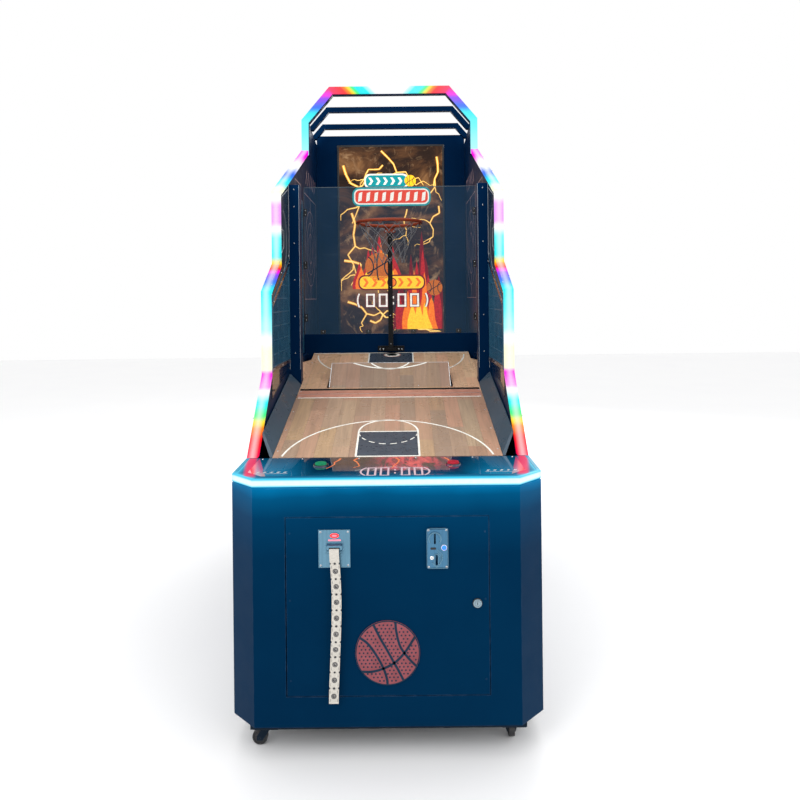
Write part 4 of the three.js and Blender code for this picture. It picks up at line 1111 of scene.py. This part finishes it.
def strip_print(spot, pitch):
    """A ring and four bars on each ticket but the one in the slot, and a hole and notches at each fold."""
    ink = Shape()
    for ticket in range(1, TICKETS):
        place, way = spot((ticket + 0.5) * pitch)
        local = Plane(place - 0.5 * Y, X, -way)
        ink.slab(local, circle((0, 0), 8.2), -0.6, 0.35)
        ink.band(local, circle((0, 0), 5.4), 1.6, 0, 0.55, 1, closed=True)
        ink.slab(local, circle((1.2, 1.2), 2.4, 12), 0, 0.6, 1)
        for centre in grid((-11.5, 11.5), (-13, 13)):
            ink.slab(local, around(centre, 0.7, 4), -0.2, 0.35, 1)
    for fold in range(1, TICKETS):
        place, way = spot(fold * pitch)
        local = Plane(place - 0.9 * Y, X, -way)
        ink.slab(local, circle((0, 0), (3.6, 3), 16), -1.2, 0.7)
        for x in (-14.1, 14.1):
            ink.slab(local, around((x, 0), 1.3, 2.2), -1.0, 0.7)
    return ink.piece("ticket_print", [INK, PALE_INK], "door", slot="ticket")


GRILLE_CENTRE = (0.0, 335.5)
GRILLE_RADIUS = 101
HOLE_PITCH = 12.5
# The seams between the ball's panels, in radii from its middle.
BALL_SEAMS = (
    ((-0.47, 0.97), (-0.42, 0.85), (-0.22, 0.45), (-0.04, 0.13), (0.20, -0.31), (0.36, -0.60), (0.55, -0.98)),
    ((-0.98, 0.53), (-0.83, 0.46), (-0.58, 0.26), (-0.30, -0.15), (-0.12, -0.51), (-0.03, -0.80),
     (-0.01, -1.05)),
    ((0.24, 1.05), (0.25, 0.90), (0.28, 0.62), (0.39, 0.20), (0.63, -0.15), (0.88, -0.41), (1.02, -0.52)),
    ((-0.95, -0.55), (-0.78, -0.57), (-0.48, -0.57), (-0.17, -0.49), (0.20, -0.31), (0.52, 0.0), (0.83, 0.46),
     (0.93, 0.60)),
)


def speaker_grille():
    """A round perforated plate printed as a basketball: a lattice of dark discs for its holes, painted shade
    over the black driver behind, and seams between its panels.
    """
    (cx, cy), r = GRILLE_CENTRE, GRILLE_RADIUS
    shape = Shape()
    shape.turned(FACE, GRILLE_CENTRE, [(r - 0.3, 0.3), (r, 1.2), (r, 2.4), (r - 3, 3.4), (0, 3.4)], 72)
    seams = [[(cx + a * r, cy + b * r) for a, b in smooth_path(seam)] for seam in BALL_SEAMS]
    for path in seams:
        shape.band(FACE, [p for p in path if math.dist(p, GRILLE_CENTRE) < r * 0.985], 7.5, 3.2, 3.75, 1)
    shape.band(FACE, circle(GRILLE_CENTRE, r - 2.2, 72), 3.2, 1.0, 3.7, 1, closed=True)
    count = int(r / HOLE_PITCH) + 2
    for row, column in grid(range(-count * 2, count * 2 + 1), range(-count, count + 1)):
        hole = (cx + (column + 0.5 * (row % 2)) * HOLE_PITCH, cy + row * HOLE_PITCH * math.sqrt(3) / 2)
        near_seam = any(math.dist(hole, p) < 6 for path in seams for p in path)
        if math.dist(hole, GRILLE_CENTRE) <= r - 7 and not near_seam:
            # Each hole is a dark disc on the plate: painted shade, not a cut.
            shape.slab(FACE, circle(hole, 2.9, 12), 3.2, 3.5, 2)
    shape.piece("grille_disc", [GRILLE, GRILLE_SEAM_AND_HOLE_SHADE, GRILLE_SEAM_AND_HOLE_SHADE], "door", slot="grille", smooth=35,
                replaces=["speaker_grille"])


def door_details():
    x, _, z = joint_at("door_lock_turn")
    lock = Plane((x, box("door_lock")[0][1], z))
    face = Shape()
    face.turned(lock, (0, 0), [(9, -1.5), (13.2, -1.5), (13.2, 0), (11.5, 0.8), (9, 0.8)], 40, closed=True)
    face.turned(lock, (0, 0), [(8.4, -1.5), (8.4, 0.9), (7.6, 1.4), (0, 1.5)], 40)
    # The keyway is a near-black bar in the recess material: painted shade where nothing is cut.
    face.slab(lock, rounded(-1.1, 1.1, -4.2, 4.2, 0.9), 1.0, 1.7, 1)
    face.piece("door_lock_face", [LOCK_METAL, RECESS_SHADE], "door_lock", slot="chrome", smooth=40)
    rivets = Shape()
    (x0, _, _), (x1, _, _) = box("service_door")
    for centre in grid((x0 + 12, x1 - 12), (250, 500, 710)):
        rivets.turned(FACE, centre, [(3.4, -0.4), (3.4, 0.3), (2.8, 0.7), (0, 0.8)], 16)
    rivets.piece("door_rivets", [CASING], "door", slot="casing", smooth=40)


# ---- console

PRINT_LOW = -0.3
PRINT_HIGH = 0.35
# Top of the deck's painted reflection marks.
PAINTED_REFLECTION_HIGH = 0.4
BORDER_WIDTH = 34


def console_buttons():
    for name, look in (("green", GREEN_LIT), ("red", RED_LIT)):
        (x0, y0, z0), (x1, y1, z1) = box(f"{name}_button")
        middle = ((x0 + x1) / 2, (y0 + y1) / 2)
        r = (x1 - x0) / 2
        cap = Shape()
        cap.turned(Plane((0, 0, 0), X, Y), middle, [
            (r * 0.92, z0), (r, z0 + 2), (r, z1 - 4), (r * 0.96, z1 - 2.4), (r * 0.86, z1 - 1.7),
            (r * 0.82, z1 - 2), (r * 0.55, z1 - 0.6), (r * 0.25, z1 - 0.1), (0, z1)], 56)
        cap.piece(f"{name}_button_lens", [look], f"{name}_button", slot=f"{name}_cap", smooth=50,
                  replaces=[f"{name}_button"])
        collar = Shape()
        collar.turned(Plane((0, 0, DECK_Z), X, Y), middle,
                      [(20.6, 2.6), (24.6, 2.6), (24.6, 4.4), (22.5, 5.2), (20.6, 4.6)], 48, closed=True)
        collar.piece(f"{name}_button_collar", [GLOSS], slot="gloss_black", smooth=40)


def console_details():
    """Screws round the deck, a frosted band along its border that carries painted light from the strip, and
    printed marks by the buttons.
    """
    shape = Shape()
    shape.screws(DECK, grid((-440, -300, -100, 100, 300, 440), (286,)), 3)
    shape.piece("console_screws", SCREW_LOOKS, slot="chrome", smooth=35)
    lines = Shape()
    for base in (-375, 375):
        lines.band(DECK, [(base - 55, 80), (base + 55, 80)], 2, PRINT_LOW, PRINT_HIGH)
        for x in range(base - 44, base + 45, 22):
            lines.slab(DECK, [(x - 6, 92), (x + 2, 92), (x + 7, 104), (x - 1, 104)], PRINT_LOW, PRINT_HIGH)
    lines.piece("console_print", [PRINT_LINE], slot="gloss_black")
    # A band on the deck whose colour is painted light from the strip.
    border = Shape()
    left = [(-470.2, 298.5), (-470.2, 93.3), (-406.7, 29.8)]
    border.band(DECK, left + [(-x, y) for x, y in left[::-1]], BORDER_WIDTH, PRINT_LOW, 0.25)
    border.piece("console_border", [DECK_BORDER], slot="gloss_black")


def painted_screen_reflection():
    """A painted reflection of the screen's counter and lightning in the glossy deck: self-lit marks laid on
    it.
    """
    reflection_marks = Shape()
    for x in (-60, -18, 50, 92):
        zero(reflection_marks, DECK, x, 46, 24, 98, 7, PRINT_LOW, PAINTED_REFLECTION_HIGH)
    for y in (75, 115):
        reflection_marks.slab(DECK, around((28, y), 3, 7), PRINT_LOW, PAINTED_REFLECTION_HIGH)
    brackets(reflection_marks, DECK, (28, 95), 30, 82, 38, 6, PRINT_LOW, PAINTED_REFLECTION_HIGH)
    rng = random.Random(4)
    for x, lean in ((-165, 0.25), (-105, -0.25), (30, 0.3), (200, -0.3)):
        place = Vector((x, 285))
        for k in range(5):
            turn = lean - math.pi / 2 + rng.uniform(-0.8, 0.8)
            ahead = place + 30 * Vector((math.cos(turn), math.sin(turn)))
            reflection_marks.band(DECK, [place, ahead], 7 - k, PRINT_LOW, PAINTED_REFLECTION_HIGH - 0.05, 1)
            place = ahead
    reflection_marks.piece("painted_screen_reflection", [REFLECTED_DIGITS, REFLECTED_FLASH], slot="gloss_black")


# ---- walls

WIRE_PITCH = 14.3
RAILS = (([(610, 1418), (1056, 1617)], 17), ([(610, 1158.5), (1056, 1158.5)], 15))
RAIL_SCREWS = [(640, 1431), (830, 1516), (1030, 1605), *((y, 1158.5) for y in (640, 830, 1030))]
PANEL_LINES = (
    [(640, 1520), (850, 1620)], [(850, 1620), (850, 1880), (1040, 1945)], arc((845, 1700), 150, -64, 64),
    arc((845, 1700), 62, -66, 66, 16), [(850, 1640), (925, 1672), (925, 1745), (850, 1745)])
WALL_RECTANGLES = ((1300, 1490, 1990, 2040), (1620, 2140, 1440, 2020))
WALL_LINES = [outline + outline[:1] for outline in (rectangle(*extent) for extent in WALL_RECTANGLES)]
WALL_LINES += [arc((1880, 1730), radius, steps=60) for radius in (85, 150, 215)]
WALL_LINES += [[(1880, 1440), (1880, 2020)]]
WALL_SLANTS = [[(y, 2080), (y + 50, 2160)] for y in range(1700, 2076, 75)]
PANEL_SCREWS = [(620, 1460), (620, 1500), (860, 1900), (1045, 1965), (1045, 1640), (850, 1555)]
# The walls by the tower stand this far outside the side panels.
WALL_STEP = 3.3


def on_wall(sign, points):
    """Points given as (distance behind the cabinet's front, height), on the wall of that side."""
    return [(-sign * y, z) for y, z in points]


def mesh_wires():
    """Fine upright wires behind the thick level ones, and rails with screws."""
    wires = [(y, 1156, 1423 + (y - 608) * 0.2 / 0.45) for y in (622 + WIRE_PITCH * i for i in range(31))]
    wires += [(1142 + WIRE_PITCH * i, 1162, 1954) for i in range(27)]
    for side, sign in SIDES.items():
        shape = Shape()
        for y, z0, z1 in wires:
            shape.band(WALLS[side], on_wall(sign, [(y, z0), (y, z1)]), 1.8, 0.9, 2.4)
        shape.piece(f"{side}_upright_wires", [MESH_PAINT], slot="mesh")
        rails = Shape()
        for path, width in RAILS:
            rails.band(WALLS[side], on_wall(sign, path), width, 2.8, 5.5)
        rails.screws(WALLS[side], on_wall(sign, RAIL_SCREWS), 3.4, 5.4, 1)
        rails.piece(f"{side}_rails", [RAIL_METAL, *SCREW_LOOKS], slot="mesh", smooth=35, bevel=0.6)


def print_art():
    """Court lines printed on the side panels and on the walls by the tower."""
    groups = ((PANEL_LINES, 3.2, 0, 0), (WALL_LINES, 4, 1, WALL_STEP), (WALL_SLANTS, 7, 1, WALL_STEP))
    for side, sign in SIDES.items():
        shape = Shape()
        for paths, width, paint, sunk in groups:
            for path in paths:
                shape.band(WALLS[side], on_wall(sign, path), width, LOW - sunk, PRINT_HIGH - sunk, paint)
        shape.screws(WALLS[side], on_wall(sign, PANEL_SCREWS), 3, 0.2, 2)
        shape.piece(f"{side}_wall_print", [PRINT_LINE, PRINT_PINK, *SCREW_LOOKS], slot="print", smooth=35)


def post_details():
    """Seam lines and screws on the posts, where the front module joins the tower."""
    (_, y0, _), (_, _, z1) = box("backboard_frame")
    posts = Plane((0, y0, 0))
    shape = Shape()
    for x in (-462.5, -415, 415, 462.5):
        shape.band(posts, [(x, 1115), (x, z1 - 2)], 1.6, LOW, 0.5)
    shape.screws(posts, grid((-439, 439), (1190, 1360, 1530, 1700, 1870, 1950)), 3.4, 0.1, 1)
    shape.piece("post_trim", [PRINT_LINE, *SCREW_LOOKS], slot="tower", smooth=35)


def strip_details():
    """Screws that hold the light strips, through the outside of the walls."""
    places = ((420, 1000), (595.5, 1300), (700, 1530), (842, 1750), (1200, 2051.2), (1550, 2189))
    for side, sign in SIDES.items():
        shape = Shape()
        shape.screws(Plane((sign * 500, FACE_Y, 0), sign * Y), [(sign * y, z) for y, z in places], 3.2)
        shape.piece(f"{side}_strip_screws", SCREW_LOOKS, slot="chrome", smooth=35)


# ---- backboard, rim and net

RIM_CENTRE = Vector((0, FACE_Y + 1310, 1817))
RIM_RADIUS = 159
RIM_TUBE = 8
RIM_PLATE_Y = FACE_Y + 1478.5
HOOKS = 12
HOOK_DROP = 12
NET_ROWS = 5
NET_LENGTH = 186
NET_MOUTH = 74


def facing(angle):
    return Vector((math.cos(angle), math.sin(angle), 0))


def hoop_rim():
    shape = Shape()
    shape.tube([RIM_CENTRE + RIM_RADIUS * facing(t) for t in turning(72)], RIM_TUBE, 16, closed=True)
    rear, z = RIM_CENTRE.y + RIM_RADIUS, RIM_CENTRE.z
    wall = Plane((0, RIM_PLATE_Y, 0))
    shape.slab(wall, rounded(-30, 30, z - 34, z + 12, 5), -5, 0)
    for side in BOTH:
        arm = [(side * 40, rear - 12, z), (side * 32, rear + 1, z - 1), (side * 22, RIM_PLATE_Y + 1, z - 2)]
        shape.tube(arm, 5.5, 14)
    gusset = [(rear - 4, z - 4), (RIM_PLATE_Y + 1, z - 4), (RIM_PLATE_Y + 1, z - 30)]
    shape.slab(Plane((0, 0, 0), Y), gusset, -2.5, 2.5)
    for t in turning(HOOKS, 0.5):
        base = RIM_CENTRE + facing(t) * (RIM_RADIUS - 3) - 6 * Z
        along = facing(t + math.pi / 2)
        bend = [math.pi * k / 8 for k in range(9)]
        shape.tube([base + 6 * math.cos(a) * along - 8 * math.sin(a) * Z for a in bend], 1.6)
    shape.piece("rim_ring", [RIM_PAINT], slot="rim", smooth=50, replaces=["hoop_rim"])
    bolts = Shape()
    for centre in grid((-21, 21), (z - 26, z + 5)):
        bolts.turned(wall, centre, [(4.6, LOW), (4.6, 2.4), (3.8, 3), (0, 3)], 6)
    bolts.piece("rim_bolts", [ZINC], slot="chrome")


def net_spot(turn, fraction, swell=0.0):
    """A place on the net: hooks round it, fraction of its length down, and out by a swell."""
    radius = NET_MOUTH + (RIM_RADIUS - 6 - NET_MOUTH) * (1 - fraction) ** 1.6 + swell
    return RIM_CENTRE + radius * facing(2 * math.pi * turn / HOOKS) - (HOOK_DROP + NET_LENGTH * fraction) * Z


def hoop_net():
    """A knotted net: strands that cross in diamonds from the rim's hooks down to the mouth."""
    shape = Shape()
    hooks = [hook + 0.5 for hook in range(HOOKS)]
    for hand, hook in grid(BOTH, hooks):
        points = []
        for rows in (step / 6 for step in range(NET_ROWS * 6 + 1)):
            swell = hand * 0.8 - 1.5 * math.sin(math.pi * (rows % 1))
            points.append(net_spot(hook + hand * 0.5 * rows, rows / NET_ROWS, swell))
        shape.tube(points, 1.5, 7)
    for row, hook in grid(range(1, NET_ROWS + 1), hooks):
        turn = hook + 0.5 * (row % 2)
        out = facing(2 * math.pi * turn / HOOKS)
        shape.turned(Plane(net_spot(turn, row / NET_ROWS), out.cross(Z), Z, out), (0, 0),
                     [(1.4, -2.8), (2.7, -1.4), (3.1, 0), (2.7, 1.4), (1.4, 2.8)], 10)
    for hook in hooks:
        loop = [net_spot(hook + 0.16 * math.cos(a), 0.03 + 0.03 * math.sin(a)) for a in turning(12)]
        shape.tube(loop, 1.8, 7, closed=True)
    shape.piece("net_cords", [NET_CORD], slot="net", smooth=60, replaces=["hoop_net"])


def backboard_details():
    (x0, y0, z0), (x1, _, z1) = box("backboard")
    board = Plane((0, y0, 0))
    shape = Shape()
    clamps = [(x, z, 9, 20, (-11, 11)) for x, z in grid((-450, 450), (1340, 1620, 1900))]
    clamps += [(x, z0 + 11.5, 14, 10.5, (0.5,)) for x in (-360, -120, 120, 360)]
    for x, z, half_x, half_z, drops in clamps:
        shape.slab(board, rounded(x - half_x, x + half_x, z - half_z, z + half_z, 3), 0.1, 3.2)
        shape.screws(board, [(x, z + drop) for drop in drops], 3, 3.2, 1)
    shape.piece("backboard_clamps", [BLACK_PLASTIC, *SCREW_LOOKS], slot="black_plastic", smooth=35)
    edge = Shape()
    edge.band(board, [(x0 + 1, z1 - 1.5), (x1 - 1, z1 - 1.5)], 2.4, -6.3, 0.3)
    for x in (-456, 456):
        edge.band(board, [(x, z0), (x, z1)], 1.6, -6.3, 0.3)
    edge.piece("backboard_edge", [moulded("acrylic_edge", (0.08, 0.11, 0.13), 0.2)], slot="clear")


def hoop_post_details():
    """Bolts through the plate on the beam, and screws up the post."""
    (_, _, z0), (_, y1, _) = box("hoop_post")
    shape = Shape()
    shape.screws(Plane((0, y1 - 6.7, 0)), grid((-58, -40, 40, 58), (z0 + 10,)), 4.5)
    shape.screws(Plane((0, y1 - 51.7, 0)), grid((0,), (1200, 1350, 1500, 1650, 1750)), 3)
    shape.piece("post_screws", SCREW_LOOKS, slot="chrome", smooth=35)


# ---- casters, base and insides

# Half of the tread's profile, radius and height. The other half mirrors it.
TREAD = [(25, 5), (24.7, 8), (23.6, 9.6), (21, 9.2), (19, 6.5), (12, 6.5), (10, 8), (4.3, 8)]


def caster_wheels():
    profile = [(r, -h) for r, h in TREAD[::-1]] + TREAD
    for caster in CASTERS:
        name = f"{caster}_caster_wheel"
        axis = Vector(JOINTS[f"{caster}_wheel_spin"]["axis"])
        hub = joint_at(f"{caster}_wheel_spin")
        wheel = Shape()
        wheel.turned(Plane(hub, axis.cross(Z), Z, axis), (0, 0), profile, 48, closed=True)
        for t in turning(8):
            spoke = Plane(hub, axis.cross(Z), Z, axis).turned(t)
            for height in (-7.6, 6.2):
                wheel.slab(spoke, rectangle(11.5, 19.5, -1, 1), height, height + 1.4)
        wheel.piece(f"{caster}_wheel_tread", [NYLON], name, slot="caster_wheel", smooth=40, replaces=[name])


def base_details():
    shape = Shape()
    for caster in CASTERS:
        x, y, _ = joint_at(f"{caster}_caster_swivel")
        for centre in grid((y - 17, y + 17), (x - 30, x + 30)):
            shape.turned(Plane((0, 0, 73.7), Y, X), centre, [(4, -0.2), (4, 1.5), (0, 1.6)], 6)
    shape.piece("base_bolts", [ZINC], slot="chrome")


def power_supply_details():
    (x0, y0, _), (_, _, z1) = box("power_supply")
    vents = Shape()
    # Vents as near-black discs on the lid: painted shade where nothing is cut.
    for i, j in grid(range(12), range(10)):
        centre = (x0 + 18 + i * 10.5, y0 + 45 + j * 15.5)
        vents.turned(Plane((0, 0, z1), X, Y), centre, [(3.2, -0.3), (3.2, 0.3)], 6)
    vents.piece("power_supply_vents", [RECESS_SHADE], slot="black_plastic")


def control_board_details():
    """Capacitors, a row of connectors with pins, and small chips."""
    x0, y0, z0 = box("control_board")[0]
    board = Plane((x0, y0, z0 + 15.2), X, Y)
    parts = Shape()
    for i in range(6):
        centre = (165 + 19 * (i % 3), 70 + 24 * (i // 3))
        parts.turned(board, centre, [(5, 0), (5, 11), (4.2, 12), (0, 12)], 20, i % 2)
    for x in range(20, 207, 31):
        parts.slab(board, rectangle(x, x + 22, 4, 14), 0, 9, 2)
        for pin in range(x + 2, x + 18, 5):
            parts.slab(board, rectangle(pin, pin + 2, 2.5, 4.2), 2, 6, 3)
    rng = random.Random(5)
    for _ in range(40):
        x, y = rng.uniform(20, 220), rng.uniform(20, 150)
        parts.slab(board, rectangle(x, x + 3.2, y, y + 1.6), 0, 1.1, rng.choice((1, 3)))
    sleeve = moulded("capacitor_sleeve", (0.02, 0.04, 0.12), 0.35)
    parts.piece("control_board_parts", [sleeve, CHROME, NET_CORD, BLACK_PLASTIC], slot="board", smooth=40)


def coin_box_details():
    """A bail handle and a lock."""
    (x0, y0, z0), (x1, _, _) = box("coin_box")
    middle = (x0 + x1) / 2
    pull = Shape()
    pull.tube([(middle + x, y0 + y, z0 + 85) for x, y in ((-35, 1), (-35, -22), (35, -22), (35, 1))], 3, 12)
    pull.turned(Plane((0, y0, 0)), (middle, z0 + 45), [(8, -1), (8, 2), (7, 3), (0, 3)], 24)
    pull.piece("coin_box_handle", [CHROME], slot="chrome", smooth=40)


def rear_details():
    """Screws round the rear cover and by the power inlet, and the inlet's pins."""
    (_, _, z0), (_, y1, z1) = box("rear_cover")
    rear = Plane((0, y1, 0), -X)
    shape = Shape()
    shape.screws(rear, grid((-440, -150, 150, 440), (z0 + 20, z1 - 20)))
    shape.screws(rear, grid((-448, 448), (1150, 1450, 1750, 2050)))
    shape.screws(Plane((0, box("power_inlet")[1][1], 0), -X), [(-319, 260), (-281, 260)], 2.6, -0.5)
    for x in (-305, -300, -295):
        shape.slab(Plane((0, FACE_Y + 2286, 0), -X), around((x, 260), 1, 3), 0, 10)
    shape.piece("rear_screws", SCREW_LOOKS, slot="chrome", smooth=35)


# ---- stage, light and camera

FLOOR_HALF = 14.0
# Each light's place, target, size and power.
LIGHTS = {
    "key_light": ((-2.6, -4.2, 3.8), (0, -0.4, 1.1), 2.6, 75),
    "fill_light": ((3.2, -3.4, 2.6), (0, -0.2, 1.0), 3.0, 40),
    "top_light": ((0, 0.2, 5.2), (0, 0.1, 0.8), 3.0, 60),
    "rear_light": ((1.5, 4.5, 3.2), (0, 1, 1.2), 2.6, 70),
}
CAMERA_PLACE = (0.050, FRONT - 2.184, 1.441)
CAMERA_ROLL = math.radians(-0.6)


def stage():
    look = Look("studio_floor", 0.6)
    look.set(Base_Color=look.mix(look.noise(1.5, 3), (0.92, 0.92, 0.93), (0.95, 0.95, 0.95)))
    mesh = bpy.data.meshes.new("floor")
    corners = rectangle(-FLOOR_HALF, FLOOR_HALF, -FLOOR_HALF, FLOOR_HALF)
    mesh.from_pydata([(x, y, 0) for x, y in corners], [], [(0, 1, 2, 3)])
    mesh.materials.append(look.material)
    placed("floor", mesh)


def lights():
    world = bpy.data.worlds.new("studio")
    bpy.context.scene.world = world
    world.use_nodes = True
    background = world.node_tree.nodes["Background"]
    background.inputs["Color"].default_value = (1.0, 1.0, 1.0, 1)
    background.inputs["Strength"].default_value = 1.0
    for name, (place, target, size, power) in LIGHTS.items():
        lamp = bpy.data.lights.new(name, "AREA")
        lamp.size, lamp.energy = size, power
        thing = placed(name, lamp)
        thing.location = place
        thing.rotation_euler = (Vector(target) - Vector(place)).to_track_quat("-Z", "Y").to_euler()


def camera():
    lens = bpy.data.cameras.new("camera")
    lens.lens, lens.sensor_width, lens.shift_y = 31.5, 36, -0.1275
    thing = placed("camera", lens)
    turn = Matrix.Rotation(math.radians(90), 4, "X") @ Matrix.Rotation(CAMERA_ROLL, 4, "Z")
    thing.matrix_world = Matrix.Translation(CAMERA_PLACE) @ turn
    bpy.context.scene.camera = thing


for step in (camera, dress_nodes, court_markings, court_trim, screen_picture, screen_title, screen_prompt,
             coin_plate, reject_button, ticket_plate, ticket_strip, speaker_grille, door_details,
             console_buttons, console_details, painted_screen_reflection, mesh_wires, print_art, post_details,
             strip_details, hoop_rim, hoop_net, backboard_details, hoop_post_details, caster_wheels,
             base_details, power_supply_details, control_board_details, coin_box_details, rear_details,
             stage, lights):
    step()
bpy.context.scene.view_settings.view_transform = "Standard"
